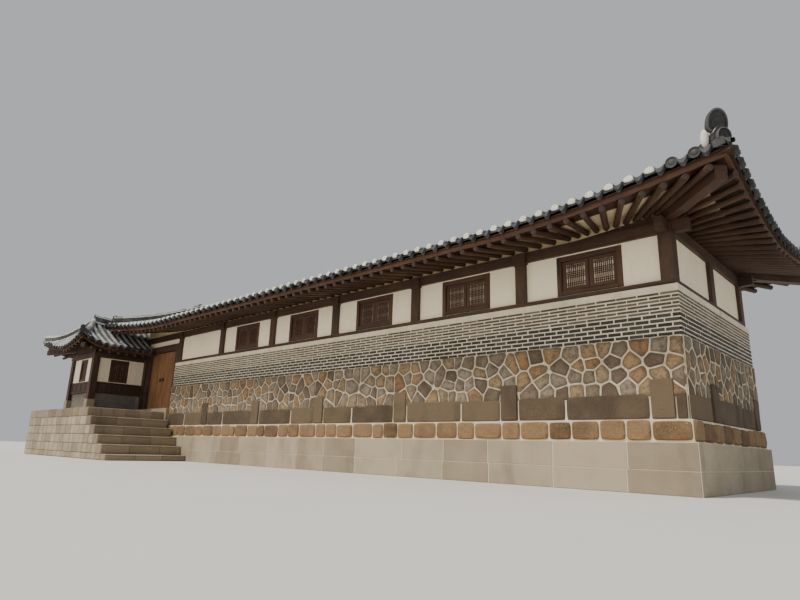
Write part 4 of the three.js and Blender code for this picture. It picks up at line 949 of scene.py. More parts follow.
# Ridge of thin tiles laid in courses with lime between them, and a row of cover tiles on top. The section is carried
# along the path; height is measured from the roof, and the covers lap along it.
def addRidge(batch, path, half, high, keep=None):
    length = np.concatenate([[0], np.cumsum(np.linalg.norm(np.diff(path, axis=0), axis=1))])
    courses = max(int(length[-1] / 0.26), 2)
    starts = np.arange(courses) * length[-1] / courses
    stations = np.stack([starts, starts + length[-1] / courses - tiles["gap"]], 1).ravel()
    stations[-1] = length[-1]
    spine = np.stack([np.interp(stations, length, path[:, k]) for k in range(3)], 1)
    ahead = np.gradient(spine, axis=0)
    sideways = np.stack([ahead[:, 1], -ahead[:, 0]], 1)
    sideways = sideways / np.linalg.norm(sideways, axis=1)[:, None]
    layers, body = max(int((high - 0.08) / 0.038), 1), high - 0.075
    profile = [(half + 0.012, -0.05)]
    for k in range(layers):
        low, top, out = body * k / layers, body * (k + 1) / layers, 0.004 * (layers - k)
        profile += [(half - 0.016 + out, low + 0.001), (half - 0.016 + out, low + 0.009), (half + out, low + 0.010),
                    (half + out * 0.8, top)]
    arch = [(0.07 * math.cos(a), body + 0.005 + 0.07 * math.sin(a)) for a in np.linspace(0.06, math.pi - 0.06, 9)]
    right = np.array(profile)
    section = np.concatenate([right, arch, right[::-1] * [-1, 1]])
    limes = [1, 1, 0, 0] * layers
    kinds = np.array(limes + [1] + [2] * 8 + [1] + limes[::-1])
    onCap = np.zeros(len(section))
    onCap[len(right):len(right) + len(arch)] = 1.0
    lap = np.tile([0.012, 0.0], courses)[:, None] * onCap[None]
    wide = section[None, :, 0] * (1 + lap)
    points = np.empty((len(spine), len(section), 3))
    points[..., :2] = spine[:, None, :2] + wide[..., None] * sideways[:, None, :]
    points[..., 2] = spine[:, None, 2] + (section[None, :, 1] + lap)
    points += shift
    rng = np.random.default_rng(int(abs(path[0, 0]) * 10))
    live = np.ones((len(spine) - 1, len(section) - 1), bool)
    if keep is not None:
        live &= keep((points[:-1, :-1] + points[1:, 1:]) / 2)
    # The cap's arch takes the pale tile, a painted highlight along the ridge's lit top; the courses under it take the
    # dark tile
    batch.add(points, {slot: gridFaces(len(spine), len(section), keep=live & (kinds == kind)[None])
                       for kind, slot in ((0, 0), (1, 2), (2, 1))}, tone=np.repeat(rng.uniform(0, 1, courses), 2))
    for end, order in ((0, 1), (-1, -1)):
        if keep is None or keep(points[end].mean(0)):
            n = len(section)
            fan = np.stack([np.arange(n), (np.arange(n) + 1) % n, np.full(n, n)], 1)[:, ::order]
            batch.add(np.concatenate([points[end], points[end].mean(0)[None]]), fan, 0, 0.2)


# Upright end tile: an arched plate that leans forward, with a raised rim and plain rings in its middle. The outline
# is given as (share of the width, out).
endTileOutline = [(0.0, -0.035), (0.9, -0.035), (1.0, -0.035), (1.03, -0.025), (1.03, 0.02), (0.9, 0.03), (0.86, 0.008),
                  (0.55, 0.008), (0.5, 0.018), (0.28, 0.018), (0.22, 0.008), (0.0, 0.012)]


def addEndTile(batch, foot, ahead, width, tall, lean=0.2):
    ahead = np.array([*ahead, 0.0]) / np.linalg.norm(ahead)
    across = np.array([-ahead[1], ahead[0], 0.0])
    up = np.array([0.0, 0.0, 1.0]) + lean * ahead
    wide, sin = np.cos(around(32)), np.sin(around(32))
    high = np.where(sin > 0, np.abs(sin) ** 0.85, -0.45 * np.abs(sin) ** 0.7)
    share, out = np.array(endTileOutline).T
    s, o = share[:, None, None], out[:, None, None]
    points = (foot + shift + (s * wide[None, :, None] * width / 2) * across
              + (s * high[None, :, None] * tall * 0.69 + 0.31 * tall) * up + o * ahead)
    # The raised rim's points get a tone past the top of the ramp: a painted highlight on the rim, with the rest of the
    # plate darker
    batch.add(points, gridFaces(len(share), 32, True)[:, ::-1], 3, np.where((share > 0.8) & (out > 0.01), 2.2, 0.2))


# A lump of lime packed beside the end tile: a squashed ball with a soft crease
def addLump(batch, centre, size):
    a, b = np.linspace(0.02, math.pi - 0.02, 10)[:, None], around(18)[None]
    ball = np.stack(np.broadcast_arrays(np.sin(a) * np.cos(b), np.sin(a) * np.sin(b), np.cos(a)), -1)
    ball = ball * (1 + 0.07 * ripple(ball * 0.3, 0.4, 9)[..., None])
    batch.add(ball * np.array(size) / 2 + centre + shift, gridFaces(10, 18, True), 2, 0.8)


# Level ridge with its raised ends, then a hip or verge ridge from each corner up to it, with end tiles and lime
def ridgePiece(name, roof, node, keep=None, hips=(0, 1, 2, 3)):
    batch = Batches()
    onX, high, half = roof["alongX"], roof["ridgeHigh"], roof["ridgeHalf"]
    middle = (roof["front"] + roof["back"]) / 2 if onX else (roof["left"] + roof["right"]) / 2
    low = (roof["left"] if onX else roof["front"]) + (roof["gable"] or roof["endInset"])
    top = (roof["right"] if onX else roof["back"]) - roof["endInset"]
    share = np.linspace(0, 1, 41)
    t = low + (top - low) * share
    x, y = (t, middle + 0 * t) if onX else (middle + 0 * t, t)
    rise = roof["endRise"] * np.abs(2 * share - 1) ** 3 * ((share > 0.5) | (roof["gable"] == 0))
    level = np.stack([x, y, roofHeight(roof, x, y) + rise], 1)
    addRidge(batch, level, half - 0.02, high, keep)
    for end, ahead in ((0, -1), (-1, 1)) if onX else ():
        foot = level[end] + np.array([0, 0, high * 0.62]) - 0.02 * np.array([ahead, 0, 0])
        addEndTile(batch, foot, (ahead, 0), half * 1.9, high * 0.5, 0.05)
    for index in hips:
        a, b = [(-1, -1), (1, -1), (1, 1), (-1, 1)][index]
        s = np.linspace(0.035, 0.985, 30)
        verge = roof["gable"] > 0 and a < 0
        if onX:
            x = (top if a > 0 else low) + (0.0 if verge else a * roof["endInset"]) * (1 - s)
            y = middle + b * roof["run"] * (1 - s)
        else:
            y = (top if b > 0 else low) + b * roof["endInset"] * (1 - s)
            x = middle + a * roof["run"] * (1 - s)
        tall = high * (1.1 if verge else 0.92)
        path = overRoof(roof, (x, y), 0.02, 0.05 * (1 - s) ** 4 if onX else 0 * s)
        addRidge(batch, path, half * 0.72, tall - 0.01, keep)
        ahead = path[0, :2] - path[1, :2]
        unit = ahead / np.linalg.norm(ahead)
        back = 0.1 if onX else 0.02
        big = 0.45 if verge else 1.0 if onX else 0.36
        foot = path[0] + np.array([*(unit * -back), tall - 0.05])
        if keep is None or keep(foot + shift):
            foot[2] -= 0.06 * (big < 1)
            addEndTile(batch, foot, ahead, 0.27 * big, 0.30 * big)
            addEndTile(batch, path[0] + np.array([*(unit * 0.03), tall - 0.235]), ahead, 0.18 * big, 0.17 * big, 0.05)
            side = np.array([-unit[1], unit[0]])
            for hand in (-1, 1):
                spot = path[0] + np.array([*(unit * (-0.02 - back) + side * hand * 0.15 * big), tall - 0.13])
                addLump(batch, spot, np.array([0.10, 0.10, 0.25]) * big)
    batch.make(name, [roofTile, coverTile, limePlug, endTile], "roof_tile", "house", [node], 40)


ridgePiece("main_ridge_tiles", mainRoof, "main_ridges")
ridgePiece("wing_ridge_tiles", wingRoof, "wing_ridges", lambda p: ~underMain(p), (0, 1, 3))
print("roofs tiled")


# Eave board: four planks round the eaves, mitred at the corners, under the lips of the tiles. The section is a plank
# on edge, carried along each side at a fixed distance from the eave and at the roof's own height.
def eaveBoard(name, roof, node, trimmed=False):
    batch = Batches()
    front, back = roof["fasciaInset"], roof["fasciaInset"] + roof["fasciaThick"]
    foot, top = roof["fasciaFoot"], roof["fasciaTop"]
    section = [(back, foot), (front, foot), (front, top), (back, top)]
    for number, side in enumerate(sides):
        length = slopeSizes(roof, side)[0]
        share = np.linspace(0, 1, int(length / 0.12))
        share = np.where(share < 0.5, 0.5 * (2 * share) ** 1.3, 1 - 0.5 * (2 - 2 * share) ** 1.3)
        rings = [overRoof(roof, slopePlan(roof, side, inset + (length - 2 * inset) * share, inset + 0 * share), level)
                 for inset, level in section]
        points = np.stack(rings, 1) + shift
        grain = np.stack(np.broadcast_arrays(length * share[:, None] + 17 * number, *np.array(section).T[:, None]), -1)
        faces = gridFaces(len(share), 4, True)
        if trimmed:
            faces = faces[~underMain(points.reshape(-1, 3)[faces].mean(1))]
        batch.add(points, faces, 0, 0.5, grain)
    batch.make(name, [fasciaWood], "timber", "house", [node])


eaveBoard("main_fascia", mainRoof, "main_eave_board")
eaveBoard("wing_fascia", wingRoof, "wing_eave_board", True)

# Rafters: round poles, square to the wall in its middle and fanned at a hip corner, each lowered until it clears the
# roof's underside along its whole length
rafterSizes = {
    "fasciaThick": 0.04, "tipPast": 0.055, "clear": 0.012, "fanZone": 1.5, "fanFirst": 0.33, "fanFoot": 0.12,
    "plainFirst": 0.11, "pitch": house["bay"] / 9, "sides": 14,
    "stations": (0.0, 0.0, 0.006, 0.2, 0.45, 0.7, 0.95, 1.0),
    "girths": (0.0, 0.94, 1.0, 1.0, 1.02, 1.02, 1.0, 0.98),
}


# Plan points of an eave: t along the wall's line from a corner, and out from it
def wallLine(x, y, along, outward):
    return lambda t, out: (x + along[0] * t + outward[0] * out, y + along[1] * t + outward[1] * out)


# Straight lines under the roof from tips to roots: their plan points, their ends' heights joined by a straight line,
# and how far each has to sink to stay below the roof
def linesUnder(roof, tip, root, stations):
    share = np.linspace(0, 1, stations)
    line = tip[:, :, None] + (root - tip)[:, :, None] * share
    under = roofUnder(roof, line[:, 0], line[:, 1])
    chord = under[:, :1] + (under[:, -1:] - under[:, :1]) * share
    return line, chord, np.maximum((chord - under).max(1), 0)


def addRafters(batch, roof, place, length, overhang, corners, radius, inward, seed, keep=None):
    z = rafterSizes
    reach = overhang - roof["fasciaInset"] - z["fasciaThick"] + z["tipPast"]
    first = -overhang + z["fanFirst"] if corners[0] else z["plainFirst"]
    last = length + overhang - z["fanFirst"] if corners[1] else length
    t = np.linspace(first, last, int(round((last - first) / z["pitch"])) + 1)

    def fan(distance):
        share = (distance + overhang - z["fanFirst"]) / (z["fanZone"] + overhang - z["fanFirst"])
        return z["fanFoot"] + share * (z["fanZone"] - z["fanFoot"])

    foot = np.where(corners[0] & (t < z["fanZone"]), fan(t), t)
    foot = np.where(corners[1] & (length - t < z["fanZone"]), length - fan(length - t), foot)
    tip = np.stack(flared(roof, *place(t, reach)), 1)
    root = np.stack(place(foot, 0 * t), 1)
    back = root + (root - tip) * inward
    _, chord, sag = linesUnder(roof, tip, back, 13)
    rng = np.random.default_rng(seed)
    sink = sag + radius + z["clear"] * 0.6
    start, end = np.column_stack([tip, chord[:, 0] - sink]), np.column_stack([back, chord[:, -1] - sink])
    if keep is not None:
        chosen = keep(start)
        start, end = start[chosen], end[chosen]
    count, stations = len(start), np.array(z["stations"])
    long = np.linalg.norm(end - start, axis=1)
    axis = (end - start) / long[:, None]
    n1 = np.cross(axis, (0.0, 0.0, 1.0))
    n1 = n1 / np.linalg.norm(n1, axis=1)[:, None]
    n2 = np.cross(axis, n1)
    cos, sin = np.cos(-around(z["sides"])), np.sin(-around(z["sides"]))
    wobble = 1 + rng.uniform(-0.035, 0.035, (count, len(stations), 1)) * (stations > 0.01)[None, :, None]
    girth = radius * rng.uniform(0.97, 1.06, count)[:, None, None] * np.array(z["girths"])[None, :, None] * wobble
    round3d = [cosine[None, None, :, None] * normal[:, None, None] for cosine, normal in ((cos, n1), (sin, n2))]
    ring = girth[..., None] * (round3d[0] + round3d[1])
    centre = start[:, None, None] + (axis * long[:, None])[:, None, None] * stations[None, :, None, None]
    along = long[:, None, None] * stations[None, :, None] + rng.uniform(0, 40, (count, 1, 1))
    size = len(stations) * z["sides"]
    caps, body = gridFaces(2, z["sides"], True), gridFaces(len(stations) - 1, z["sides"], True) + z["sides"]
    batch.add(centre + ring + shift, {0: repeated(body, count, size), 1: repeated(caps, count, size)},
              tone=rng.uniform(0, 1, count), grain=np.stack(np.broadcast_arrays(along, girth * cos, girth * sin), -1))


# Over the head beam: a cream strip up to the roof's underside and, under it, a timber wedge that rises towards a hip
# corner. Both are walls whose top and foot follow the roof.
def addEavesStrip(batch, roof, place, start, end, cornerAt, bottom, wedge, filling=2):
    t = np.linspace(start, end, int((end - start) / 0.12) + 2)
    out, count = wedge["out"], len(t)
    top = roofUnder(roof, *place(t, out + 0 * t))
    rise = np.zeros(count)
    for corner in cornerAt:
        rise = np.maximum(rise, wedge["high"] * np.clip(1 - np.abs(t - corner) / wedge["long"], 0, 1) ** 1.4)
    foot = np.minimum(bottom + rise, top - 0.01)
    for front, low, high, thick, slot in ((out, bottom + 0 * t, foot, 0.03, 0),
                                          (out - 0.02, foot, top + 0.03, 0.02, filling)):
        ring = [np.stack([*place(t, o + 0 * t), h], 1)
                for o, h in ((front - thick, low), (front, low), (front, high), (front - thick, high))]
        points = np.stack(ring, 1) + shift
        grain = np.stack(np.broadcast_arrays(t[:, None], points[..., 2], 3.0), -1)
        caps = np.array([[0, 1, 2, 3], [4 * count - 1, 4 * count - 2, 4 * count - 3, 4 * count - 4]])
        batch.add(points, [gridFaces(count, 4, True), caps], slot, 0.5, grain)


rafterFinish = [rafterWood, endGrain, infill]
longLength, depth = -gateLeft, house["depth"]
frontLine = wallLine(gateLeft, 0.0, (1, 0), (0, -1))
backLine, backAway = wallLine(gateLeft, depth, (1, 0), (0, 1)), wallLine(0.0, depth, (-1, 0), (0, 1))
rightLine = wallLine(0.0, 0.0, (0, 1), (1, 0))
wedge = {"high": 0.16, "long": 1.9, "out": 0.05}
for side, poles, strip in (
    ("front", (frontLine, longLength, 1.22, (False, True), 0.046, 0.3, 61),
     (frontLine, 0.0, longLength + 0.06, [longLength + 0.06])),
    ("back", (backLine, longLength, 1.22, (False, True), 0.046, 0.3, 62), (backAway, -0.06, longLength, [-0.06])),
    ("right", (rightLine, depth, 1.15, (True, True), 0.046, 0.25, 63),
     (rightLine, -0.05, depth + 0.05, [-0.05, depth + 0.05])),
):
    batch = Batches()
    addRafters(batch, mainRoof, *poles)
    addEavesStrip(batch, mainRoof, *strip, house["headTop"], wedge)
    batch.make(side + "_round_rafters", rafterFinish, "timber", "house", [side + "_rafters"])

# The wing's hip rafters: square poles from three corners, as (sideways, up) round the section
hipSection = np.array([(-0.06, -0.15), (0.06, -0.15), (0.06, 0.0), (-0.06, 0.0)])
smallWedge = {"high": 0.1, "long": 0.8, "out": 0.05}


def dressWingRafters():
    batch = Batches()
    left, right, front, back = wing["left"], wing["right"], wing["front"], wing["back"]
    wide, deep = right - left, back - front
    frontEdge, rightEdge = wallLine(left, front, (1, 0), (0, -1)), wallLine(right, front, (0, 1), (1, 0))
    for place, length, seed, keep in (
        (frontEdge, wide, 64, None), (wallLine(left, front, (0, 1), (-1, 0)), deep, 65, None),
        (wallLine(left, back, (1, 0), (0, 1)), wide, 66, lambda p: p[:, 0] < mainRoof["left"] - 0.2),
        (rightEdge, deep, 67, lambda p: p[:, 1] < -0.3),
    ):
        addRafters(batch, wingRoof, place, length, 0.75, (True, True), 0.04, 0.2, seed, keep)
    for place, start, end, cornerAt in (
        (frontEdge, -0.05, wide + 0.05, [-0.05, wide + 0.05]),
        (wallLine(left, back, (0, -1), (-1, 0)), -0.05, deep + 0.05, [-0.05, deep + 0.05]),
        (rightEdge, -0.05, -front - 0.13, [-0.05]),
        (wallLine(right, back, (-1, 0), (0, 1)), 0.55, wide + 0.05, [wide + 0.05]),
    ):
        addEavesStrip(batch, wingRoof, place, start, end, cornerAt, wing["headTop"], smallWedge, 0)
    corner = np.array([(wingRoof["right"], wingRoof["front"]), (wingRoof["left"], wingRoof["front"]),
                       (wingRoof["left"], wingRoof["back"])])
    post = np.array([(right, front), (left, front), (left, back)])
    tips = np.stack(flared(wingRoof, *(corner + (post - corner) * 0.15).T), 1)
    roots = corner + (post - corner) * 1.2
    lines, chords, sags = linesUnder(wingRoof, tips, roots, 11)
    for tip, root, line, chord, sag in zip(tips, roots, lines, chords, sags):
        long = np.linalg.norm(root - tip)
        side = np.array([-(root - tip)[1], (root - tip)[0]]) / long
        ring = [np.column_stack([line.T + side * s, chord - sag - 0.03 + h]) for s, h in hipSection]
        grain = np.stack(np.broadcast_arrays(np.linspace(0, 1, 11)[:, None] * long, hipSection[:, 0],
                                             np.array([-0.07, -0.07, 0.07, 0.07])), -1)
        points = np.stack(ring, 1) + shift
        batch.add(points, gridFaces(11, 4, True)[:, ::-1], 0, 0.5, grain)
        batch.add(points[0], np.array([[0, 1, 2, 3]]), 1, 0.5, grain[0])
    batch.make("wing_round_rafters", rafterFinish, "timber", "house", ["wing_rafters"])


dressWingRafters()
print("rafters set")

# Blocks on the post heads: soft-edged, a little prouder than the beam they carry
headBlock = {"half": 0.128, "back": 0.1, "out": 0.154, "low": 3.627, "high": 3.831, "chamfer": 0.02}


def headBlocks():
    batch = Batches()
    z = headBlock
    for wall, sign in ((frontWall, -1), (backWall, 1)):
        centres = sign * house["bay"] * np.arange(1, house["roomBays"] + 1)
        addBoxes(batch, wall, (centres - z["half"], z["low"], z["back"]), (centres + z["half"], z["high"], z["out"]),
                 z["chamfer"], 0, 71)
    batch.make("post_head_blocks", [beamWood], "timber")


headBlocks()

# Lattice windows: a heavy frame, two leaves with bars over paper, and bars in three bands across
windowSizes = {"frame": 0.082, "frameOut": 0.052, "play": 0.002, "stile": 0.068, "rail": 0.056, "leafHalf": 0.018,
               "slot": 0.033, "bar": 0.014, "rows": (0.085, 0.17, 0.41, 0.49, 0.57, 0.65, 0.87, 0.94)}


def latticeWindow(name, node, wall, centre, width, low, high):
    z = windowSizes
    batch = Batches()
    half = width / 2 - z["play"]
    bottom, top = low + z["play"], high - z["play"]
    f, out = z["frame"], z["frameOut"]
    inner = half - f
    left, right = centre - half, centre + half
    addBoxes(batch, wall, ([left, right - f], bottom, -out), ([left + f, right], top, out), 0.006, 0, 3)
    addBoxes(batch, wall, (left + f, [bottom, top - f], -out), (right - f, [bottom + f, top], out - 0.004), 0.006, 0, 4)
    h, s, r, e = z["leafHalf"], z["stile"], z["rail"], z["bar"] / 2
    y0, y1 = bottom + f + 0.004, top - f - 0.004
    for number, (a, b) in enumerate([(centre - inner, centre - 0.003), (centre + 0.003, centre + inner)]):
        addBoxes(batch, wall, ([a, b - s], y0, -h), ([a + s, b], y1, h), 0.004, 0, 5 + number)
        addBoxes(batch, wall, (a + s, [y0, y1 - r], -h), (b - s, [y0 + r, y1], h - 0.002), 0.004, 0, 8 + number)
        x0, x1, w0, w1 = a + s, b - s, y0 + r, y1 - r
        slots = max(int(round((x1 - x0) / z["slot"])), 4)
        bars = x0 + (x1 - x0) * np.arange(1, slots) / slots
        addBoxes(batch, wall, (bars - e, w0, -0.002), (bars + e, w1, 0.015), 0.002, 0, 11 + number)
        rows = w0 + (w1 - w0) * np.array(z["rows"])
        addBoxes(batch, wall, (x0, rows - e * 0.8, -0.004), (x1, rows + e * 0.8, 0.012), 0.002, 0, 14 + number)
        addBoxes(batch, wall, (x0 - 0.01, w0 - 0.01, -0.012), (x1 + 0.01, w1 + 0.01, -0.003), 0.001, 1, 17)
    batch.make(name, [windowWood, paper], "timber", "house", [node])


windowLow, windowHigh = house["sillTop"] + 0.02, house["headLow"] - 0.02
for side, wall, sign, bays in (("front", frontWall, -1, (1, 2, 3, 4, 5)), ("back", backWall, 1, (1, 3, 5))):
    for number, bay in enumerate(bays, 1):
        centre = sign * house["bay"] * (house["roomBays"] - bay - 0.5)
        latticeWindow(f"{side}_lattice_{number}", f"{side}_window_{number}", wall, centre, 1.1, windowLow, windowHigh)

wingWide, wingDeep = wing["right"] - wing["left"], wing["back"] - wing["front"]
wingCorners = {"front": (wing["left"], wing["front"], (1.0, 0.0)), "right": (wing["right"], wing["front"], (0.0, 1.0)),
               "left": (wing["left"], wing["back"], (0.0, -1.0)), "back": (wing["right"], wing["back"], (-1.0, 0.0))}
wingWindow = {
    "width": 0.59, "low": wing["boardTop"] + 0.02, "high": wing["headLow"] - 0.02, "sunk": wing["skin"] - 0.055,
}
for side, centre in (("front", wingWide / 2), ("right", (-wing["front"] - 0.13) / 2), ("left", wingDeep / 2)):
    latticeWindow(f"wing_{side}_lattice", f"wing_{side}_window", Wall(*wingCorners[side], wingWindow["sunk"]), centre,
                  wingWindow["width"], wingWindow["low"], wingWindow["high"])
print("windows hung")


# A turned shape: an outline of (radius, height) carried round an upright axis, or round one that points to the front
def turned(batch, centre, outline, count, toFront=False, squared=None, slot=0, tone=0.5):
    radii, heights = np.array(outline).T
    wide = radii[:, None] * (1.0 if squared is None else squared)
    cos, sin = wide * np.cos(around(count)), wide * np.sin(around(count))
    heights = heights[:, None] + 0 * cos
    parts = (cos, -heights, sin) if toFront else (cos, sin, heights)
    batch.add(np.stack(parts, -1) + centre, gridFaces(len(radii), count, True)[:, ::-1], slot, tone)


gateSizes = {
    "end": 0.048, "plank": 0.135, "joint": 0.0015, "face": 0.02, "back": -0.03, "ledges": (0.14, 0.5, 0.86),
    "ledgeIn": 0.13, "ledgeHalf": 0.055, "ledgeBack": -0.06, "pivotIn": 0.03, "pivot": 0.018, "pivotOut": 0.01,
    "ringLow": 0.052, "bossUp": 0.014, "ringOut": 0.022, "ring": 0.042, "wire": 0.0065,
}
rosette = [(0.0, 0.0003), (0.052, 0.0003), (0.052, 0.006), (0.046, 0.008), (0.042, 0.0055), (0.0, 0.0055)]
boss = [(0.014, 0.004), (0.014, 0.024), (0.012, 0.0285), (0.0, 0.029)]


# Gate leaves: upright planks of uneven width, ledges behind, and turned pins at the hinge edge. On each hangs an iron
# ring from a boss on a round plate.
def gateLeaf(side):
    z = gateSizes
    low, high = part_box("gate_leaf_" + side)
    batch = Batches()
    x0, x1 = low.x - shift[0], high.x - shift[0]
    z0, z1 = low.z + z["end"], high.z - z["end"]
    left, right = courseCuts(x0, x1, z["plank"], 0.1, 7 if side == "left" else 8)
    face = z["face"] - np.random.default_rng(3).uniform(0, 0.003, len(left))
    addBoxes(batch, frontWall, (left + z["joint"], z0, z["back"]), (right - z["joint"], z1, face), 0.004, 0, 31)
    ledges = z0 + (z1 - z0) * np.array(z["ledges"])
    addBoxes(batch, frontWall, (x0 + z["ledgeIn"], ledges - z["ledgeHalf"], z["ledgeBack"]),
             (x1 - z["ledgeIn"], ledges + z["ledgeHalf"], z["back"] + 0.001), 0.006, 0, 32)
    pivot = x0 + z["pivotIn"] if side == "left" else x1 - z["pivotIn"]
    for a, b in ((low.z, z0 + 0.02), (z1 - 0.02, high.z)):
        pin = [(0.0, a), (z["pivot"], a), (z["pivot"], b), (0.0, b)]
        turned(batch, np.array([pivot, z["pivotOut"], 0.0]) + shift, pin, 16, tone=0.4)
    batch.make("gate_planks_" + side, [plankWood], "plank", side + "_leaf", ["gate_leaf_" + side])
    pullLow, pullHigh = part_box("gate_pull_" + side)
    pull = Batches()
    centre = np.array([(pullLow.x + pullHigh.x) / 2, pullHigh.y, pullHigh.z - z["ringLow"]])
    turned(pull, centre, rosette, 24, True)
    turned(pull, centre + [0.0, 0.0, z["bossUp"]], boss, 24, True)
    small = around(10)[None]
    round25 = np.append(around(24), 0.0)[:, None]
    reach = z["ring"] + z["wire"] * np.cos(small)
    hang = centre + [0.0, -z["ringOut"], z["bossUp"] - z["ring"]]
    torus = np.broadcast_arrays(reach * np.cos(round25), z["wire"] * np.sin(small), reach * np.sin(round25))
    pull.add(np.stack(torus, -1) + hang, gridFaces(25, 10, True)[:, ::-1], 0)
    pull.make("gate_ring_" + side, [iron], "iron", side + "_leaf", ["gate_pull_" + side], 60)


gateLeaf("left")
gateLeaf("right")


# Stone foot of the gate's outer post: a squat drum with soft shoulders round the post
def postStone():
    low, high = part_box("gate_left_post")
    angles = around(28)
    boxy = (np.abs(np.cos(angles)) ** 5 + np.abs(np.sin(angles)) ** 5) ** (-1 / 5)
    outline = [(0.165, 0.001), (0.172, 0.02), (0.17, 0.05), (0.155, 0.078), (0.132, 0.09), (0.09, 0.092)]
    batch = Batches()
    turned(batch, np.array([(low.x + high.x) / 2, (low.y + high.y) / 2, low.z]), outline, 28, squared=boxy, tone=0.6)
    batch.make("gate_post_stone", [granite], "granite")


postStone()
print("gate hung")

wingBricks = {"count": 7, "pitch": 0.0665, "height": 0.057, "length": 0.19, "joint": 0.009, "deep": 0.07,
              "proud": -0.041}
wingPanels = {"rail": 0.06, "topRail": 0.055, "railOut": 0.022, "railSoft": 0.005, "stile": 0.028, "stileOut": 0.018,
              "stilePitch": 0.42, "plankPitch": 0.14, "plankOut": 0.006, "plankIn": 0.03, "plankJoint": 0.002,
              "back": 0.03}
wingBase = {"course": 0.345, "length": 0.62, "out": 0.13, "joint": 0.006, "shortened": 1.39}


# Wing walls: bricks, a panelled board band and the stones of its base
def dressWing():
    z, post, face = wing, wing["postHalf"], wing["skin"]
    walls = {side: Wall(*corner) for side, corner in wingCorners.items()}
    runs = [(walls["front"], wingWide), (walls["right"], -z["front"] - 0.12), (walls["left"], wingDeep),
            (walls["back"], wingWide)]
    bricks, boards, stones = Batches(), Batches(), Batches()
    for number, (wall, end) in enumerate(runs):
        addBricks(bricks, wall, post + 0.025, end - post, z["courseTop"] + 0.006, face, wingBricks, 0, 80 + number, 81)
    bricks.make("wing_bricks", [wingBrick], "brick")
    p = wingPanels
    low, high, behind = z["brickTop"] + 0.002, z["boardTop"], face - p["back"]
    for number, (wall, end) in enumerate(runs):
        a, b = post, end - post + (0.1 if number == 1 else 0)
        for w0, w1 in ((low, low + p["rail"]), (high - p["topRail"], high)):
            addBoxes(boards, wall, (a, w0, behind), (b, w1, face + p["railOut"]), p["railSoft"], 0, 90 + number)
        stiles = np.linspace(a, b, max(int(round((b - a) / p["stilePitch"])), 1) + 1)
        stiles = np.clip(stiles - p["stile"], a, b - 2 * p["stile"])
        addBoxes(boards, wall, (stiles, low + p["rail"] - 0.002, behind),
                 (stiles + 2 * p["stile"], high - p["topRail"] + 0.002, face + p["stileOut"]), p["railSoft"], 0,
                 94 + number)
        planks = np.linspace(a, b, max(int(round((b - a) / p["plankPitch"])), 1) + 1)
        addBoxes(boards, wall, (planks[:-1] + p["plankJoint"], low + p["plankIn"], behind),
                 (planks[1:] - p["plankJoint"], high - p["plankIn"], face + p["plankOut"]), 0.003, 0, 98 + number)
    boards.make("wing_panels", [beamWood], "timber")
    w = wingBase
    for wall, end in ((walls["left"], wingDeep + w["out"] - w["shortened"]), (walls["back"], wingWide)):
        for course in range(4):
            left, right = courseCuts(-w["out"], end, w["length"], 0.15, 100 + course)
            addBoxes(stones, wall, (left + w["joint"], w["course"] * course + 0.004, w["out"] - 0.02),
                     (right - w["joint"], w["course"] * (course + 1) - 0.004, w["out"] + 0.006), 0.008, 0, 101 + course)
    stones.make("wing_base_stones", [granite], "granite")


dressWing()

# Terrace and steps: courses of granite blocks round a core, with slabs on top. Every course is one riser high.
stoneCourses = np.array([0.0, 0.155, 0.4, 0.645, 0.89, 1.135, 1.38])
# Slots: 0 the darker step stone; 1 the dark brown core behind the joints, a painted shade in them; 2 the pale granite,
# which on the thin tread bands is a painted highlight along the nosings
terraceFinish = [stepStone, blockStone, granite]
terraceSizes = {
    "frontLength": 0.38, "sideLength": 0.55, "slabLength": 0.62, "slabDeep": 0.36, "deep": 0.3, "joint": 0.006,
    "soft": 0.02, "coreIn": 0.035, "stepDeep": 0.36, "nose": 0.012, "tread": 0.03, "treadJoint": 0.002,
    "treadSoft": 0.012,
}


# Blocks in plan cells between two heights; the cells are given by their starts and ends across and back
def blocksBetween(batch, xCuts, yCuts, z0, z1, seed, slot=0, gap=0.003, soft=0.014):
    x0, y0 = (part.ravel() for part in np.meshgrid(xCuts[0], yCuts[0], indexing="ij"))
    x1, y1 = (part.ravel() for part in np.meshgrid(xCuts[1], yCuts[1], indexing="ij"))
    addBoxes(batch, frontWall, (x0 + gap, z0 + gap * 0.6, gap - y1), (x1 - gap, z1 - 0.001, -y0), soft, slot, seed)


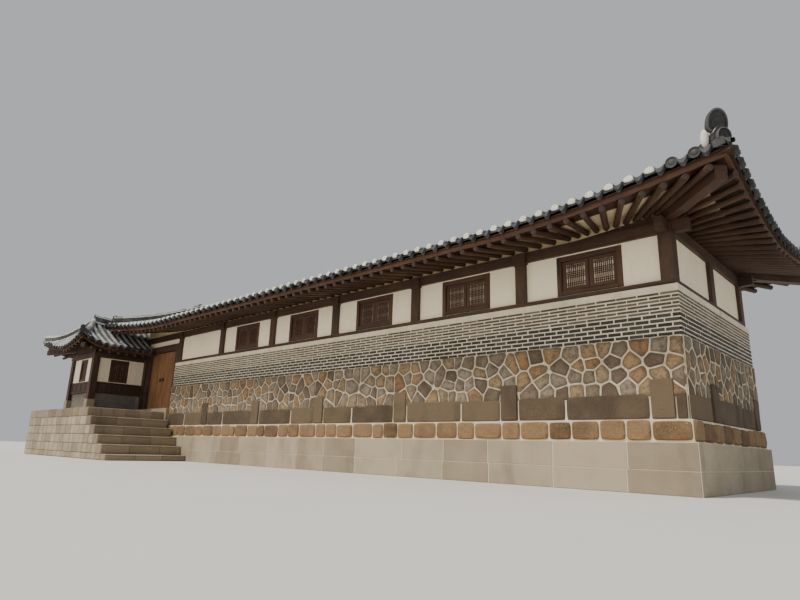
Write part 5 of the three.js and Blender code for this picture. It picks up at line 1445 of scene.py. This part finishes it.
def dressTerrace():
    z = terraceSizes
    rough = z["joint"], z["soft"]
    low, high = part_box("terrace")
    x0, y0 = low.x - shift[0], low.y - shift[1]
    x1, y1 = high.x - shift[0], high.y - shift[1]
    batch = Batches()
    levels = list(zip(stoneCourses[:-1], stoneCourses[1:]))
    for k, (z0, z1) in enumerate(levels[:-1]):
        cuts = courseCuts(x0, x1, z["frontLength"], 0.22, 200 + k)
        blocksBetween(batch, cuts, (y0, y0 + z["deep"]), z0, z1, 210 + k, 2, *rough)
        cuts = courseCuts(y0 + z["deep"], y1, z["sideLength"], 0.35, 220 + k)
        blocksBetween(batch, (x0, x0 + z["deep"]), cuts, z0, z1, 230 + k, 0, *rough)
    for r, (front, back) in enumerate(zip(*courseCuts(y0, y1, z["slabDeep"], 0.08, 240))):
        cuts = courseCuts(x0, x1, z["slabLength"], 0.22, 250 + r)
        blocksBetween(batch, cuts, (front, back), *levels[-1], 260 + r)
    coreLow, coreHigh = 0.002 - y1, -y0 - z["coreIn"]
    # The core is dark brown stone, so the joints between the blocks show painted shade
    addBoxes(batch, frontWall, (x0 + z["coreIn"], 0.0, coreLow), (x1 - 0.02, 1.37, coreHigh), 0.002, 1, 1)
    batch.make("terrace_blocks", terraceFinish, "granite", "house", ["terrace"])
    low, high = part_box("steps")
    batch = Batches()
    start, tread = low.x - shift[0], (high.x - low.x) / 5
    for i in range(1, 6):
        xa, xb = start + tread * (i - 1), start + tread * i
        for k, (z0, z1) in enumerate(levels[:5 - i]):
            blocksBetween(batch, (xa, xb), (y0, y0 + z["stepDeep"]), z0, z1, 320 + 7 * i + k, 2, *rough)
        z0, z1 = levels[5 - i]
        cuts = courseCuts(y0, y1, z["slabLength"], 0.2, 300 + i)
        # Riser in the darker step stone, its darkness partly painted shade, under a thin band of pale granite at the
        # top of the step: a painted highlight along the nosing
        blocksBetween(batch, (xa, xb - z["nose"]), cuts, z0, z1 - z["tread"], 310 + i)
        foot = z1 - z["tread"] - z["treadJoint"]
        blocksBetween(batch, (xa, xb), cuts, foot, z1, 310 + i, 2, z["treadJoint"], z["treadSoft"])
        # Dark brown core behind the step's joints: painted shade in them
        addBoxes(batch, frontWall, (xa, 0.0, coreLow), (xb - 0.03, z1 - 0.012, coreHigh), 0.002, 1, 1)
    batch.make("step_blocks", terraceFinish, "granite", "house", ["steps"])


dressTerrace()
print("terrace built")

# Solids that stay get their own finishes
bandTop = house["headLow"]
frameWood = woodFinish("frame wood", timberLook, solidGrain("X", house["sillTop"], bandTop))
rightFrameWood = woodFinish("right frame wood", timberLook, solidGrain("Y", house["sillTop"], bandTop))
postWood = woodFinish("post wood", timberLook, solidGrain("Z"))
gateFrameWood = woodFinish("gate frame wood", timberLook, solidGrain("X", 1.0, 3.3))
wingFrameWood = woodFinish("wing frame wood", timberLook, solidGrain("Y", 1.0, wing["headLow"]))
frontHipWood = woodFinish("front hip wood", rafterLook, solidGrain("X", turn=(0.7071, -0.7071)))
backHipWood = woodFinish("back hip wood", rafterLook, solidGrain("X", turn=(0.7071, 0.7071)))
finishes = [
    (frameWood, "front_timber_frame", "back_timber_frame"), (rightFrameWood, "right_timber_frame"),
    (postWood, "gate_left_post", "gate_back_post"), (gateFrameWood, "gate_frame"),
    (wingFrameWood, "wing_timber_frame", "wing_board_wall"), (frontHipWood, "hip_rafter_front_right"),
    (backHipWood, "hip_rafter_back_right"), (greyMortar, "wing_brick_wall"), (stepStone, "floor"),
    (plaster, "front_plaster_wall", "back_plaster_wall", "right_plaster_wall", "wing_plaster_wall",
     "gate_plaster_strip", "left_gable_wall"),
    (mortar, "front_stone_wall", "back_stone_wall", "right_stone_wall", "front_brick_wall", "back_brick_wall",
     "right_brick_wall"),
    (granite, "gate_threshold", "gate_back_threshold", "wing_base", "wing_front_course", "wing_back_course",
     "wing_left_course", "wing_right_course"),
]
for material, *dressedNodes in finishes:
    for node in dressedNodes:
        nodes[node].data.materials.clear()
        nodes[node].data.materials.append(material)
print("finishes set")

# Floor, sky light and sun
ground = Shader("pale floor")
ground.finish(ground.blend(ground.noise(ground.place(), 0.6, 3.0), (0.66, 0.65, 0.63), (0.72, 0.71, 0.69)), 0.9)
floorMesh = bpy.data.meshes.new("stage_floor")
floorCorners = [(x, y, -0.004) for x, y in ((-120, -120), (120, -120), (120, 120), (-120, 120))]
floorMesh.from_pydata(floorCorners, [], [(0, 1, 2, 3)])
floorMesh.materials.append(ground.material)
floor = bpy.data.objects.new("stage_floor", floorMesh)
bpy.context.scene.collection.objects.link(floor)

light = {"sky": (0.88, 0.91, 0.96), "skyStrength": 0.55, "lamps": {  # strength, colour, width in degrees, side
    "sun": (3.2, (1.0, 0.93, 0.82), 5.0, (-0.35, -0.62, 1.25)),
    "bounce": (1.35, (1.0, 0.88, 0.70), 60.0, (-0.1, -1.0, 0.0)),
}}
world = bpy.data.worlds.new("soft sky")
world.use_nodes = True
world.node_tree.nodes["Background"].inputs[0].default_value = (*light["sky"], 1.0)
world.node_tree.nodes["Background"].inputs[1].default_value = light["skyStrength"]
bpy.context.scene.world = world
for lampName, (energy, colour, wide, fromSide) in light["lamps"].items():
    lampData = bpy.data.lights.new(lampName, "SUN")
    lampData.energy = energy
    lampData.color = colour
    lampData.angle = math.radians(wide)
    lamp = bpy.data.objects.new(lampName, lampData)
    lamp.rotation_mode = "QUATERNION"
    lamp.rotation_quaternion = Vector(fromSide).to_track_quat("Z", "Y")
    bpy.context.scene.collection.objects.link(lamp)

# Camera: placed and turned as measured from the house's own edges
cameraData = bpy.data.cameras.new("camera")
cameraData.sensor_width, cameraData.lens, cameraData.clip_end = 36.0, 26.274, 500.0
camera = bpy.data.objects.new("camera", cameraData)
bpy.context.scene.collection.objects.link(camera)
camera.matrix_world = Matrix((
    (0.73380662, 0.14857373, 0.66290569, 2.68 + shift[0]), (0.67897023, -0.20430676, -0.70511324, -8.53 + shift[1]),
    (0.03058621, 0.96761573, -0.25048788, 0.45), (0.0, 0.0, 0.0, 1.0),
))
bpy.context.scene.camera = camera
bpy.context.view_layer.update()
